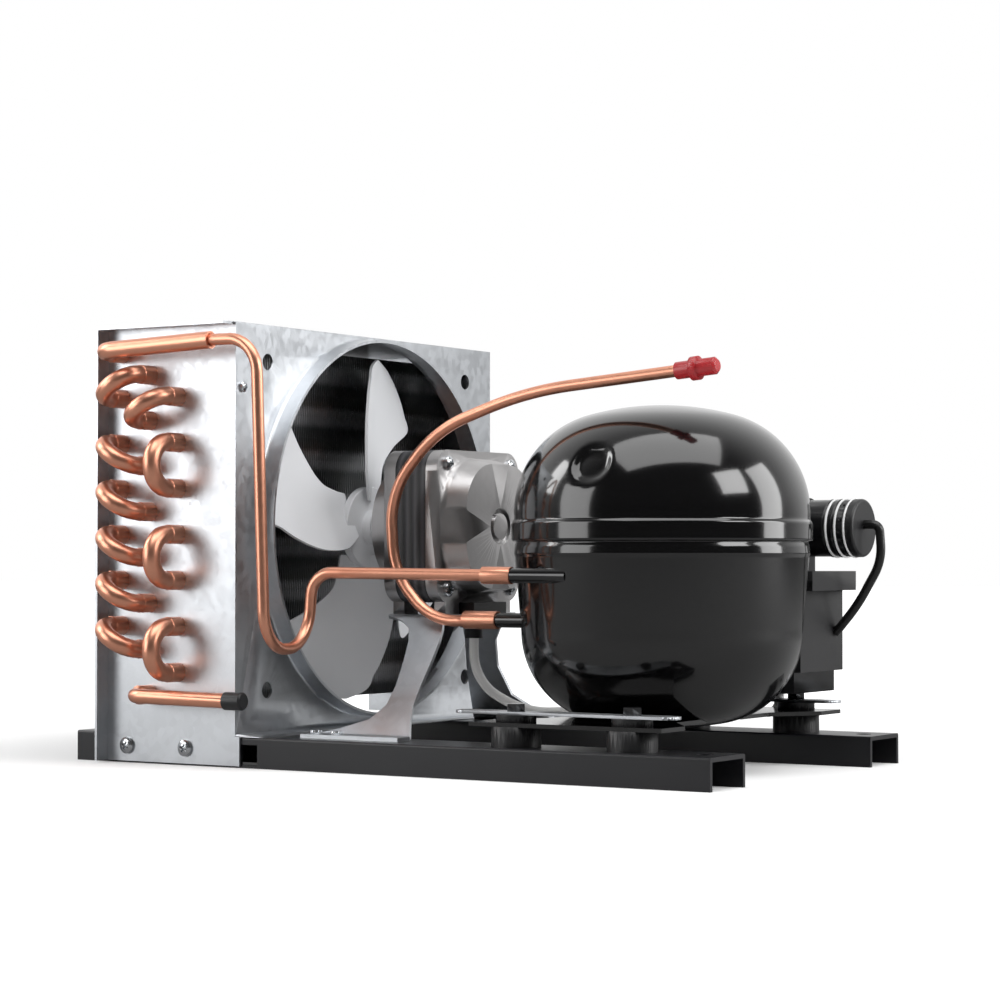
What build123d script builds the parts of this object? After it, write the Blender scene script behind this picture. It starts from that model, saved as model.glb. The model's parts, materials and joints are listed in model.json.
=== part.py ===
from build123d import *
from math import atan2, cos, degrees, pi, radians, sin, sqrt, tan
import os

# Air-cooled refrigeration condensing unit: two channel rails carry a three-row
# tube-and-fin condenser with its fan shroud, a fan motor on a sheet stand, and a
# hermetic compressor on four rubber grommets.
# Frame: +X along the rails from condenser to compressor, +Z up, origin on the
# floor under the centre of the unit's box. Millimetres.

os.makedirs("parts", exist_ok=True)

# ---------------------------------------------------------------- driving sizes
# base rails
rail_length = 405.0
rail_width = 37.2
rail_height = 16.8
rail_wall = 2.3
rail_pitch = 186.5
base_hole_inset = 12.5
base_hole_diameter = 8.5
window_gap = 2.5
window_length = 11.5
window_height = 11.0

# condenser
coil_width = 255.0
plate_wall = 1.5
tube_diameter = 9.52
tube_pitch = 25.4
row_pitch = 20.15
tubes_per_row = 8
fin_count = 30
fin_thickness = 0.5
coil_setback = 23.7
coil_floor_gap = 32.15
plate_top_margin = 8.35
plate_floor_gap = 1.0
plate_flange = 11.0
inner_lip = 12.0
small_screw_radius = 2.0
screw_head_radius = 4.6
screw_head_height = 2.6
bend_leg = 10.5
bend_diameter = 9.9
cup_diameter = 10.6
cup_length = 9.5

# shroud and its drawn orifice ring
plenum_depth = 28.25
ring_radius = 110.5
ring_throat_radius = 107.8
ring_height = 11.0
ring_wall = 1.5
shroud_flange = 18.0
guard_hole_diameter = 9.2
guard_hole_span_y = 200.4
guard_hole_span_z = 182.0
shroud_screw_head_radius = 3.0

# fan
fan_pitch_angle = 18.0
fan_blades = 4
blade_thickness = 1.6
hub_radius = 24.0
hub_thickness = 5.0
hub_boss_radius = 10.0
hub_front = 3.0
hub_back = 12.0
shaft_radius = 4.0
shaft_clearance = 0.05
fan_plane_from_shroud = 2.6

# fan motor
motor_size = 86.0
motor_corner = 12.0
stack_length = 20.5
stack_from_shroud = 46.6
frame_flange = 7.5
motor_cavity_radius = 34.0
front_dish_radius = 40.0
front_dish_depth = 13.0
rear_dome_size = 78.0
rear_dome_corner = 30.0
rear_dome_depth = 15.0
casting_wall = 3.0
motor_screw_span_y = 65.0
motor_screw_span_z = 71.0
motor_rotor_radius = 18.0
air_gap = 0.5
pole_width = 12.0
coil_overhang = 5.0
bush_radius = 7.0
bush_length = 9.0
boss_radius = 10.0
rear_recess_radius = 10.5
rear_recess_depth = 2.5

# motor stand
stand_wall = 2.0
stand_drop = 6.5
stand_half_width = 51.5
stand_foot_depth = 12.0
stand_rivet_span = 13.5

# compressor
shell_radius = 80.0
shell_low_radius = 76.0
shell_bottom = 22.8
shell_top = 196.8
seam_bottom = 115.5
seam_middle = 123.6
seam_top = 134.4
skirt_step = 1.3
shell_wall = 3.0
dome_fillet = 55.0
dome_crown = 150.0
bowl_fillet = 50.0
bowl_crown = 200.0
foot_span_x = 69.0
foot_thickness = 2.2
grommet_diameter = 26.0
grommet_height = 10.5
grommet_neck = 16.0
grommet_cap_height = 4.0
stud_diameter = 6.0
strap_thickness = 1.5
compressor_end_gap = 88.5

# refrigerant pipes
pipe_diameter = 6.35
pipe_wall = 0.8
stub_diameter = 8.0
discharge_collar_diameter = 9.2
suction_collar_diameter = 9.8
outlet_tube_diameter = 8.0

# electrical
capacitor_radius = 16.0
capacitor_length = 63.0
lead_diameter = 5.0
sleeve_diameter = 5.4

# ------------------------------------------------------------- derived places
half_coil = coil_width / 2
plate_outer_y = half_coil + plate_wall
front_rail_y = -half_coil + rail_width / 2
rear_rail_y = front_rail_y + rail_pitch
compressor_x = rail_length / 2 - compressor_end_gap
compressor_y = (front_rail_y + rear_rail_y) / 2

coil_back_x = -rail_length / 2 + coil_setback
row_count = 3
coil_depth = row_count * row_pitch
coil_front_x = coil_back_x + coil_depth
shroud_back_x = coil_front_x + plenum_depth
shroud_x = shroud_back_x + plate_wall
coil_height = tubes_per_row * tube_pitch
coil_top = coil_floor_gap + coil_height
plate_top = coil_top + plate_top_margin
fan_z = (rail_height + plate_top) / 2 + 1.95

tube_radius = tube_diameter / 2
row_x = [coil_back_x + row_pitch * (index + 0.5) for index in range(row_count)]
staggered_row = 1
low_tube_z = coil_floor_gap + tube_pitch / 4
high_tube_z = low_tube_z + tube_pitch / 2

stack_back_x = shroud_x + stack_from_shroud
stack_front_x = stack_back_x + stack_length
fan_x = shroud_x + fan_plane_from_shroud

motor_bottom = fan_z - motor_size / 2
stand_top = motor_bottom - stand_drop
stand_x = stack_back_x + 11.0
front_foot_y = front_rail_y + 1.5
rear_foot_y = rear_rail_y + 9.0
front_rivets = [(stand_x - 12.0 + side * stand_rivet_span / 2, front_foot_y) for side in (-1, 1)]
rear_rivets = [(stand_x + 12.0 + side * stand_rivet_span / 2, rear_foot_y) for side in (-1, 1)]
shroud_screw_y = plate_outer_y - 6.0
shroud_screw_spots = [(side * shroud_screw_y, fan_z + 76.0) for side in (-1, 1)]
plate_screw_spots = [(coil_back_x + 14.3, 9.6), (coil_back_x + 55.8, 9.6)]

foot_bottom = rail_height + grommet_height
foot_top = foot_bottom + foot_thickness
strap_bottom = foot_top + grommet_cap_height
strap_top = strap_bottom + strap_thickness
grommet_xs = [compressor_x - foot_span_x / 2, compressor_x + foot_span_x / 2]


def tube_place(row, level):
    """X and Z of the tube centre at a level of row 0 (outer), 1 or 2 (fan side)."""
    base = low_tube_z if row == staggered_row else high_tube_z
    return row_x[row], base + tube_pitch * level


# The tubes that are fitted: the outer row starts one level up, the fan-side row
# ends one level down.
fitted_tubes = [(0, level) for level in range(1, tubes_per_row)]
fitted_tubes += [(1, level) for level in range(tubes_per_row)]
fitted_tubes += [(2, level) for level in range(tubes_per_row - 1)]

# Return bends join tube ends in pairs, so that the gas passes every tube once,
# from the inlet at the top of the outer row to the outlet at the foot of row 1.
near_bends = [((2, 5), (2, 4)), ((2, 3), (2, 2)), ((2, 1), (2, 0)), ((2, 6), (1, 6))]
near_bends += [((1, 7), (0, 6))]
near_bends += [((0, level), (1, level)) for level in (5, 4, 3, 2, 1)]
far_bends = [((0, 7), (1, 7)), ((0, 6), (1, 6)), ((2, 6), (2, 5)), ((2, 4), (1, 5))]
far_bends += [((0, 5), (0, 4)), ((1, 4), (2, 3)), ((2, 2), (1, 3)), ((0, 3), (0, 2))]
far_bends += [((1, 2), (0, 1)), ((1, 1), (2, 1)), ((2, 0), (1, 0))]


# ------------------------------------------------------------------- helpers
def save(piece, name):
    """Label a finished piece and write it under the same name."""
    piece.part.label = name
    export_step(piece.part, f"parts/{name}.step")


def easy_radii(points, share=0.45):
    """Corner radii as large as the two runs beside each corner allow."""
    corners = [Vector(*point) for point in points]
    radii = []
    for before, corner, after in zip(corners, corners[1:], corners[2:]):
        run_in, run_out = corner - before, after - corner
        half_turn = radians(run_in.get_angle(run_out)) / 2
        radii.append(share * min(run_in.length, run_out.length) / tan(half_turn))
    return radii


def routed_tube(points, diameter, wall=0.0, radii=None):
    """A round tube or rod along straight runs joined by tangent arcs."""
    start, toward = Vector(*points[0]), Vector(*points[1])
    with BuildPart() as tube:
        with BuildLine() as path:
            FilletPolyline(*points, radius=radii or easy_radii(points))
        with BuildSketch(Plane(origin=start, z_dir=toward - start)):
            Circle(diameter / 2)
            if wall:
                Circle(diameter / 2 - wall, mode=Mode.SUBTRACT)
        sweep(path=path.line)
    return tube.part


def rod_x(x_low, x_high, radius, y, z):
    """A cylinder along X, added to the open part."""
    with BuildSketch(Plane.YZ.offset(x_low)) as end:
        with Locations((y, z)):
            Circle(radius)
    extrude(end.sketch, amount=x_high - x_low)


def rod_z(z_low, z_high, radius, places, mode=Mode.ADD):
    """Cylinders along Z at each (x, y), added to or cut from the open part."""
    with BuildSketch(Plane.XY.offset(z_low)) as end:
        with Locations(*places):
            Circle(radius)
    extrude(end.sketch, amount=z_high - z_low, mode=mode)


# ---------------------------------------------------------------- base rails
def make_rail(centre_y, rivet_spots, window):
    """Inverted channel rail with its holes; the front one also has a window and the
    screw holes of the end plate in its outer web."""
    grommet_holes = [(x, centre_y) for x in grommet_xs]
    base_holes = [(side * (rail_length / 2 - base_hole_inset), centre_y) for side in (-1, 1)]
    with BuildPart() as rail:
        with BuildSketch(Plane.YZ.offset(-rail_length / 2)):
            with Locations((centre_y, rail_height / 2)):
                Rectangle(rail_width, rail_height)
            with Locations((centre_y, (rail_height - rail_wall) / 2)):
                Rectangle(rail_width - 2 * rail_wall, rail_height - rail_wall, mode=Mode.SUBTRACT)
        extrude(amount=rail_length)
        top_outer = rail.edges().filter_by(Axis.X).group_by(Axis.Z)[-1]
        fillet(top_outer, rail_wall / 2)
        rod_z(0, rail_height, stud_diameter / 2, grommet_holes, Mode.SUBTRACT)
        rod_z(0, rail_height, base_hole_diameter / 2, base_holes, Mode.SUBTRACT)
        rod_z(0, rail_height, small_screw_radius, rivet_spots, Mode.SUBTRACT)
        if window:
            window_x = shroud_x + window_gap + window_length / 2
            with BuildSketch(Plane.XZ.offset(half_coil)):
                with Locations((window_x, (rail_height - rail_wall) / 2)):
                    Rectangle(window_length, window_height)
                with Locations(*plate_screw_spots):
                    Circle(small_screw_radius)
            extrude(amount=-rail_wall, mode=Mode.SUBTRACT)
    return rail


front_rail = make_rail(front_rail_y, front_rivets, True)
save(front_rail, "front_rail")
rear_rail = make_rail(rear_rail_y, rear_rivets, False)
save(rear_rail, "rear_rail")

# ------------------------------------------------------------------ condenser
fin_pitch = coil_width / fin_count
with BuildPart() as fin_pack:
    # Each fin has one upright slot for each row, which its tubes fill.
    fin_ys = [-half_coil + fin_pitch * (index + 0.5) for index in range(fin_count)]
    for fin_y in fin_ys:
        with BuildSketch(Plane.XZ.offset(-fin_y - fin_thickness / 2)):
            with Locations(((coil_back_x + coil_front_x) / 2, (coil_floor_gap + coil_top) / 2)):
                Rectangle(coil_depth, coil_height)
            for row in range(row_count):
                levels = [level for place, level in fitted_tubes if place == row]
                x, z_low = tube_place(row, levels[0])
                z_high = tube_place(row, levels[-1])[1]
                with Locations((x, (z_low + z_high) / 2)):
                    Rectangle(tube_diameter, z_high - z_low + tube_diameter, mode=Mode.SUBTRACT)
        extrude(amount=fin_thickness)
save(fin_pack, "fin_pack")

with BuildPart() as condenser_tubes:
    with BuildSketch(Plane.XZ.offset(-plate_outer_y)):
        with Locations(*[tube_place(row, level) for row, level in fitted_tubes]):
            Circle(tube_radius)
    extrude(amount=2 * plate_outer_y)
save(condenser_tubes, "condenser_tubes")


def make_end_plate(side, bottom, foot_x, foot_holes, top_lip):
    """Tube sheet: side -1 is the near one. The back lip turns outward, as does the
    top one where it is fitted, and the fan-side lip turns inward behind the shroud."""
    back_x = coil_back_x - plate_wall
    outer = side * plate_outer_y
    with BuildPart() as plate:
        with BuildSketch(Plane.XZ.offset(-side * half_coil)):
            with Locations(((back_x + shroud_back_x) / 2, (rail_height + plate_top) / 2)):
                Rectangle(shroud_back_x - back_x, plate_top - rail_height)
            if bottom < rail_height:
                with Locations(((back_x + foot_x) / 2, (bottom + rail_height) / 2)):
                    Rectangle(foot_x - back_x, rail_height - bottom)
            with Locations(*[tube_place(row, level) for row, level in fitted_tubes]):
                Circle(tube_radius, mode=Mode.SUBTRACT)
            for spot in foot_holes:
                with Locations(spot):
                    Circle(small_screw_radius, mode=Mode.SUBTRACT)
        extrude(amount=-side * plate_wall)
        lip_y = outer + side * (plate_flange - plate_wall) / 2
        with Locations((back_x + plate_wall / 2, lip_y, (bottom + plate_top) / 2)):
            Box(plate_wall, plate_flange - plate_wall, plate_top - bottom)
        if top_lip:
            with Locations(((back_x + shroud_back_x) / 2, lip_y, plate_top - plate_wall / 2)):
                Box(shroud_back_x - back_x, plate_flange - plate_wall, plate_wall)
        inner_lip_y = side * (half_coil - inner_lip / 2)
        lip_middle = (rail_height + plate_top) / 2
        with Locations((shroud_back_x - plate_wall / 2, inner_lip_y, lip_middle)):
            Box(plate_wall, inner_lip, plate_top - rail_height)
        with BuildSketch(Plane.YZ.offset(shroud_back_x - plate_wall)):
            with Locations(*shroud_screw_spots):
                Circle(small_screw_radius)
        extrude(amount=plate_wall, mode=Mode.SUBTRACT)
    return plate


near_end_plate = make_end_plate(-1, plate_floor_gap, shroud_x + 3.0, plate_screw_spots, True)
save(near_end_plate, "near_end_plate")
far_end_plate = make_end_plate(1, rail_height, shroud_back_x, [], False)
save(far_end_plate, "far_end_plate")

cover_back_x = coil_back_x - plate_wall
with BuildPart() as top_cover:
    with Locations(((cover_back_x + shroud_back_x) / 2, 0, plate_top - plate_wall / 2)):
        Box(shroud_back_x - cover_back_x, coil_width, plate_wall)
    add(near_end_plate.part, mode=Mode.SUBTRACT)
    add(far_end_plate.part, mode=Mode.SUBTRACT)
save(top_cover, "top_cover")


def make_bends(pairs, side):
    """Half-circle return bends, each on two swaged cups over its tube ends."""
    face = side * plate_outer_y
    with BuildPart() as bends:
        for first, second in pairs:
            (x1, z1), (x2, z2) = tube_place(*first), tube_place(*second)
            span = sqrt((x2 - x1) ** 2 + (z2 - z1) ** 2)
            across = Vector((x2 - x1) / span, 0, (z2 - z1) / span)
            start = Vector(x1, face, z1)
            crown = Vector((x1 + x2) / 2, face + side * (bend_leg + span / 2), (z1 + z2) / 2)
            shoulder = Vector(0, side * bend_leg, 0)
            with BuildLine(mode=Mode.PRIVATE) as path:
                Line(start, start + shoulder)
                ThreePointArc(start + shoulder, crown, start + across * span + shoulder)
                Line(start + across * span + shoulder, start + across * span)
            with BuildSketch(Plane(origin=start, x_dir=across, z_dir=(0, side, 0))):
                Circle(bend_diameter / 2)
            sweep(path=path.line)
            for x, z in ((x1, z1), (x2, z2)):
                with BuildSketch(Plane(origin=(x, face, z), x_dir=(1, 0, 0), z_dir=(0, side, 0))):
                    Circle(cup_diameter / 2)
                extrude(amount=cup_length)
    return bends


near_return_bends = make_bends(near_bends, -1)
save(near_return_bends, "near_return_bends")
far_return_bends = make_bends(far_bends, 1)
save(far_return_bends, "far_return_bends")

header_y = -plate_outer_y - bend_leg - tube_pitch / 2 + 1.0
inlet_x, inlet_z = tube_place(0, tubes_per_row - 1)
inlet_end_x = shroud_x + 0.5
inlet_end_z = inlet_z + 3.0
socket_depth = 9.0
with BuildPart() as inlet_tube:
    add(routed_tube(
        [(inlet_x, -plate_outer_y, inlet_z), (inlet_x, header_y, inlet_z),
         (inlet_end_x, header_y, inlet_end_z)],
        tube_diameter, radii=[12.0],
    ))
    with BuildSketch(Plane.XZ.offset(plate_outer_y)):
        with Locations((inlet_x, inlet_z)):
            Circle(cup_diameter / 2)
    extrude(amount=cup_length)
    rod_x(inlet_end_x - socket_depth, inlet_end_x + 1, pipe_diameter / 2, header_y, inlet_end_z)
    with BuildSketch(Plane.YZ.offset(inlet_end_x - socket_depth)):
        with Locations((header_y, inlet_end_z)):
            Circle(pipe_diameter / 2)
    extrude(amount=socket_depth + 2, mode=Mode.SUBTRACT)
save(inlet_tube, "inlet_tube")

outlet_x, outlet_z = tube_place(1, 0)
outlet_end_x = shroud_x + 10.5
outlet_y = header_y + 3.5
with BuildPart() as outlet_tube:
    add(routed_tube(
        [(outlet_x, -plate_outer_y, outlet_z), (outlet_x, outlet_y, outlet_z),
         (outlet_end_x, outlet_y, outlet_z - 1.0)],
        outlet_tube_diameter, radii=[10.0],
    ))
    with BuildSketch(Plane.XZ.offset(plate_outer_y)):
        with Locations((outlet_x, outlet_z)):
            Circle(cup_diameter / 2)
    extrude(amount=cup_length)
save(outlet_tube, "outlet_tube")

cap_wall = 0.9
cap_length = 12.0
cap_depth = 2.0
with BuildPart() as outlet_cap:
    with BuildSketch(Plane.XZ.offset(-outlet_y)):
        with BuildLine():
            Polyline(
                (outlet_end_x - cap_depth, outlet_z - 1.0), (outlet_end_x - cap_depth, outlet_z + 3.9),
                (outlet_end_x + cap_length - cap_depth - 1, outlet_z + 3.9),
                (outlet_end_x + cap_length - cap_depth, outlet_z + 2.9),
                (outlet_end_x + cap_length - cap_depth, outlet_z - 1.0), close=True,
            )
        make_face()
    revolve(axis=Axis((outlet_x, outlet_y, outlet_z - 1.0), (1, 0, 0)))
    add(outlet_tube.part, mode=Mode.SUBTRACT)
save(outlet_cap, "outlet_cap")

# -------------------------------------------------------------------- shroud
with BuildPart() as shroud:
    with BuildSketch(Plane.YZ.offset(shroud_back_x)):
        with Locations((0, (rail_height + plate_top) / 2)):
            Rectangle(2 * plate_outer_y, plate_top - rail_height)
        with Locations((0, fan_z)):
            Circle(ring_radius - ring_wall, mode=Mode.SUBTRACT)
            with GridLocations(guard_hole_span_y, guard_hole_span_z, 2, 2):
                Circle(guard_hole_diameter / 2, mode=Mode.SUBTRACT)
        with Locations(*shroud_screw_spots):
            Circle(small_screw_radius, mode=Mode.SUBTRACT)
    extrude(amount=plate_wall)
    # The ring is drawn forward out of the sheet and rolled in to the throat.
    with BuildSketch(Plane.XZ):
        with BuildLine():
            sheet_back = (shroud_back_x, fan_z + ring_radius)
            outer_foot = (shroud_x, fan_z + ring_radius)
            outer_lip = (shroud_x + ring_height, fan_z + ring_throat_radius + ring_wall)
            inner_lip_end = (shroud_x + ring_height, fan_z + ring_throat_radius)
            inner_foot = (shroud_back_x, fan_z + ring_radius - ring_wall)
            outer_mid = (shroud_x + 0.4 * ring_height, fan_z + ring_radius - 0.8)
            inner_mid = (shroud_x + 0.4 * ring_height, fan_z + ring_radius - ring_wall - 0.8)
            Polyline(inner_foot, sheet_back, outer_foot)
            ThreePointArc(outer_foot, outer_mid, outer_lip)
            Line(outer_lip, inner_lip_end)
            ThreePointArc(inner_lip_end, inner_mid, inner_foot)
        make_face()
    revolve(axis=Axis((0, 0, fan_z), (1, 0, 0)))
    with Locations((shroud_x + shroud_flange / 2, 0, rail_height + plate_wall / 2)):
        Box(shroud_flange, 2 * half_coil, plate_wall)
save(shroud, "shroud")

with BuildPart() as shroud_screws:
    with BuildSketch(Plane.YZ.offset(shroud_x)):
        with Locations(*shroud_screw_spots):
            Circle(shroud_screw_head_radius)
    extrude(amount=screw_head_height)
    with BuildSketch(Plane.YZ.offset(shroud_back_x - plate_wall)):
        with Locations(*shroud_screw_spots):
            Circle(small_screw_radius)
    extrude(amount=2 * plate_wall)
save(shroud_screws, "shroud_screws")

with BuildPart() as end_plate_screws:
    with BuildSketch(Plane.XZ.offset(plate_outer_y)):
        with Locations(*plate_screw_spots):
            Circle(screw_head_radius)
    extrude(amount=screw_head_height)
    with BuildSketch(Plane.XZ.offset(plate_outer_y)):
        with Locations(*plate_screw_spots):
            Circle(small_screw_radius)
    extrude(amount=-plate_wall - rail_wall)
save(end_plate_screws, "end_plate_screws")

# ----------------------------------------------------------------------- fan
# Blade outline in the blade's own plane: (out from the axis, along the turn).
blade_outline = [
    (18, 6), (31, 12.5), (44, 14), (58, 13), (71, 9), (86, 1), (97, -9), (100, -18),
    (97, -30), (90, -45), (80, -57), (69, -65), (58.5, -71), (50, -52), (38, -30), (26, -24), (16, -22),
]
blade_sag = 4.0
blade_reach = 16.0
blade_tail = -74.0

with BuildPart() as blade:
    pitch = radians(fan_pitch_angle)
    along = Vector(sin(pitch), -cos(pitch), 0)
    through = Vector(cos(pitch), sin(pitch), 0)
    with BuildSketch(Plane(origin=(0, 0, 0), x_dir=(0, 0, 1), z_dir=through)):
        with BuildLine():
            Spline(*blade_outline[:7])
            Spline(*blade_outline[6:13])
            Spline(*blade_outline[12:])
            Line(blade_outline[-1], blade_outline[0])
        make_face()
    extrude(amount=12, both=True)
    # The blade is the part of a shallow arched sheet within that outline.
    middle = (blade_reach + blade_tail) / 2
    ends = [along * blade_reach, along * middle - through * blade_sag, along * blade_tail]
    with BuildSketch(Plane.XY):
        with BuildLine():
            ThreePointArc(*ends)
            ThreePointArc(*[point - through * blade_thickness for point in ends])
            Line(ends[0], ends[0] - through * blade_thickness)
            Line(ends[2], ends[2] - through * blade_thickness)
        make_face()
    extrude(amount=110, mode=Mode.INTERSECT)

with BuildPart() as fan_blade:
    for index in range(fan_blades):
        with Locations(Location((fan_x, 0, fan_z), (360 / fan_blades * index, 0, 0))):
            add(blade.part)
    rod_x(fan_x - 3 - hub_thickness, fan_x - 3, hub_radius, 0, fan_z)
    rod_x(fan_x - hub_back, fan_x + hub_front, hub_boss_radius, 0, fan_z)
    with BuildSketch(Plane.YZ.offset(fan_x - hub_back)):
        with Locations((0, fan_z)):
            Circle(shaft_radius)
    extrude(amount=hub_back + hub_front, mode=Mode.SUBTRACT)
save(fan_blade, "fan_blade")

nut_x = fan_x - hub_back
nut_length = 5.0
with BuildPart() as fan_nut:
    with BuildSketch(Plane.YZ.offset(nut_x - nut_length)):
        with Locations((0, fan_z)):
            RegularPolygon(7.5, 6)
            Circle(shaft_radius, mode=Mode.SUBTRACT)
    extrude(amount=nut_length)
save(fan_nut, "fan_nut")

# ----------------------------------------------------------------- fan motor
motor_back_x = stack_back_x - frame_flange
dish_x = motor_back_x - front_dish_depth
rear_flange_x = stack_front_x + frame_flange
rear_x = rear_flange_x + rear_dome_depth
foot_ys = [-27.0, 27.0]
motor_foot_width = 14.0


def motor_disc(x_low, x_high, radius, mode=Mode.ADD):
    """A disc on the fan axis, added to or cut from the open part."""
    with BuildSketch(Plane.YZ.offset(x_low)) as end:
        with Locations((0, fan_z)):
            Circle(radius)
    extrude(end.sketch, amount=x_high - x_low, mode=mode)


def motor_square(x_low, x_high):
    """The rounded square outline of the motor, with its four screw holes."""
    with BuildSketch(Plane.YZ.offset(x_low)) as outline:
        with Locations((0, fan_z)):
            RectangleRounded(motor_size, motor_size, motor_corner)
            with GridLocations(motor_screw_span_y, motor_screw_span_z, 2, 2):
                Circle(small_screw_radius, mode=Mode.SUBTRACT)
    extrude(outline.sketch, amount=x_high - x_low)


def motor_feet(x_low, x_high):
    """Two feet from the underside of a casting to the stand."""
    for y in foot_ys:
        with Locations(((x_low + x_high) / 2, y, motor_bottom - stand_drop / 2 + 1)):
            Box(x_high - x_low, motor_foot_width, stand_drop + 2)


with BuildPart() as motor_front_frame:
    motor_square(motor_back_x, stack_back_x)
    motor_feet(motor_back_x, stack_back_x)
    with BuildSketch(Plane.YZ.offset(motor_back_x)):
        with Locations((0, fan_z)):
            Circle(front_dish_radius)
    extrude(amount=-front_dish_depth, taper=12)
    motor_disc(dish_x + casting_wall, stack_back_x, motor_cavity_radius, Mode.SUBTRACT)
    motor_disc(dish_x, dish_x + bush_length + 1, boss_radius)
    motor_disc(dish_x, dish_x + bush_length + 1, bush_radius, Mode.SUBTRACT)
save(motor_front_frame, "motor_front_frame")

with BuildPart() as stator_core:
    motor_square(stack_back_x, stack_front_x)
    motor_disc(stack_back_x, stack_front_x, motor_cavity_radius, Mode.SUBTRACT)
    bore_radius = motor_rotor_radius + air_gap
    with BuildSketch(Plane.YZ.offset(stack_back_x)):
        with Locations((0, fan_z)):
            Rectangle(pole_width, 2 * motor_cavity_radius + 2)
            Rectangle(2 * motor_cavity_radius + 2, pole_width)
            Circle(bore_radius, mode=Mode.SUBTRACT)
    extrude(amount=stack_length)
save(stator_core, "stator_core")

coil_inner = bore_radius + 2.5
coil_outer = motor_cavity_radius - 3.0
coil_width_half = 10.5
with BuildPart() as stator_winding:
    coil_middle_x = (stack_back_x + stack_front_x) / 2
    for index in range(4):
        with Locations(Location((coil_middle_x, 0, fan_z), (90 * index, 0, 0))):
            with Locations((0, 0, (coil_inner + coil_outer) / 2)):
                Box(stack_length + 2 * coil_overhang, 2 * coil_width_half, coil_outer - coil_inner)
                Box(stack_length, pole_width, coil_outer - coil_inner, mode=Mode.SUBTRACT)
save(stator_winding, "stator_winding")

with BuildPart() as motor_rotor:
    motor_disc(stack_back_x, stack_front_x, motor_rotor_radius)
    motor_disc(stack_back_x, stack_front_x, shaft_radius, Mode.SUBTRACT)
save(motor_rotor, "motor_rotor")

with BuildPart() as motor_rear_cover:
    motor_square(stack_front_x, rear_flange_x)
    motor_feet(stack_front_x, rear_flange_x)
    with BuildSketch(Plane.YZ.offset(rear_flange_x)):
        with Locations((0, fan_z)):
            RectangleRounded(rear_dome_size, rear_dome_size, rear_dome_corner)
    extrude(amount=rear_dome_depth, taper=14)
    motor_disc(stack_front_x, rear_x - casting_wall, motor_cavity_radius - 4, Mode.SUBTRACT)
    motor_disc(stack_front_x, rear_flange_x, motor_cavity_radius, Mode.SUBTRACT)
    motor_disc(rear_x - bush_length - casting_wall, rear_x, boss_radius)
    motor_disc(rear_x - bush_length - casting_wall, rear_x - casting_wall, bush_radius, Mode.SUBTRACT)
    motor_disc(rear_x - rear_recess_depth, rear_x, rear_recess_radius, Mode.SUBTRACT)
    motor_disc(rear_x - rear_recess_depth, rear_x, rear_recess_radius - casting_wall)
save(motor_rear_cover, "motor_rear_cover")


def make_bush(x_low):
    """Plain bearing bush with a running fit on the shaft."""
    with BuildPart() as bush:
        motor_disc(x_low, x_low + bush_length, bush_radius)
        motor_disc(x_low, x_low + bush_length, shaft_radius + shaft_clearance, Mode.SUBTRACT)
    return bush


front_bush = make_bush(dish_x + 1)
save(front_bush, "front_bush")
rear_bush = make_bush(rear_x - bush_length - casting_wall)
save(rear_bush, "rear_bush")

with BuildPart() as motor_shaft:
    motor_disc(nut_x - nut_length - 3, rear_x - casting_wall - 1, shaft_radius)
save(motor_shaft, "motor_shaft")

with BuildPart() as motor_screws:
    with BuildSketch(Plane.YZ.offset(rear_flange_x)):
        with Locations((0, fan_z)):
            with GridLocations(motor_screw_span_y, motor_screw_span_z, 2, 2):
                Circle(screw_head_radius - 0.6)
    extrude(amount=3.6)
    with BuildSketch(Plane.YZ.offset(motor_back_x)):
        with Locations((0, fan_z)):
            with GridLocations(motor_screw_span_y, motor_screw_span_z, 2, 2):
                Circle(small_screw_radius)
    extrude(amount=rear_flange_x - motor_back_x)
save(motor_screws, "motor_screws")

# ---------------------------------------------------------------- motor stand
gland_x = stack_front_x + 4.5
gland_radius = 5.0
gland_nut_radius = 8.0


def bent_sheet(points, wall):
    """Closed outline of a bent sheet of a given wall whose upper face runs along
    the points."""
    upper = [Vector(*point) for point in points]
    ways = [(b - a).normalized() for a, b in zip(upper, upper[1:])]
    sides = [Vector(way.Y, -way.X) for way in ways]
    lower = [upper[0] + sides[0] * wall]
    for corner, before, after in zip(upper[1:], sides, sides[1:]):
        lower.append(corner + (before + after) * (wall / (1 + before.dot(after))))
    lower.append(upper[-1] + sides[-1] * wall)
    return upper + lower[::-1]


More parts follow.
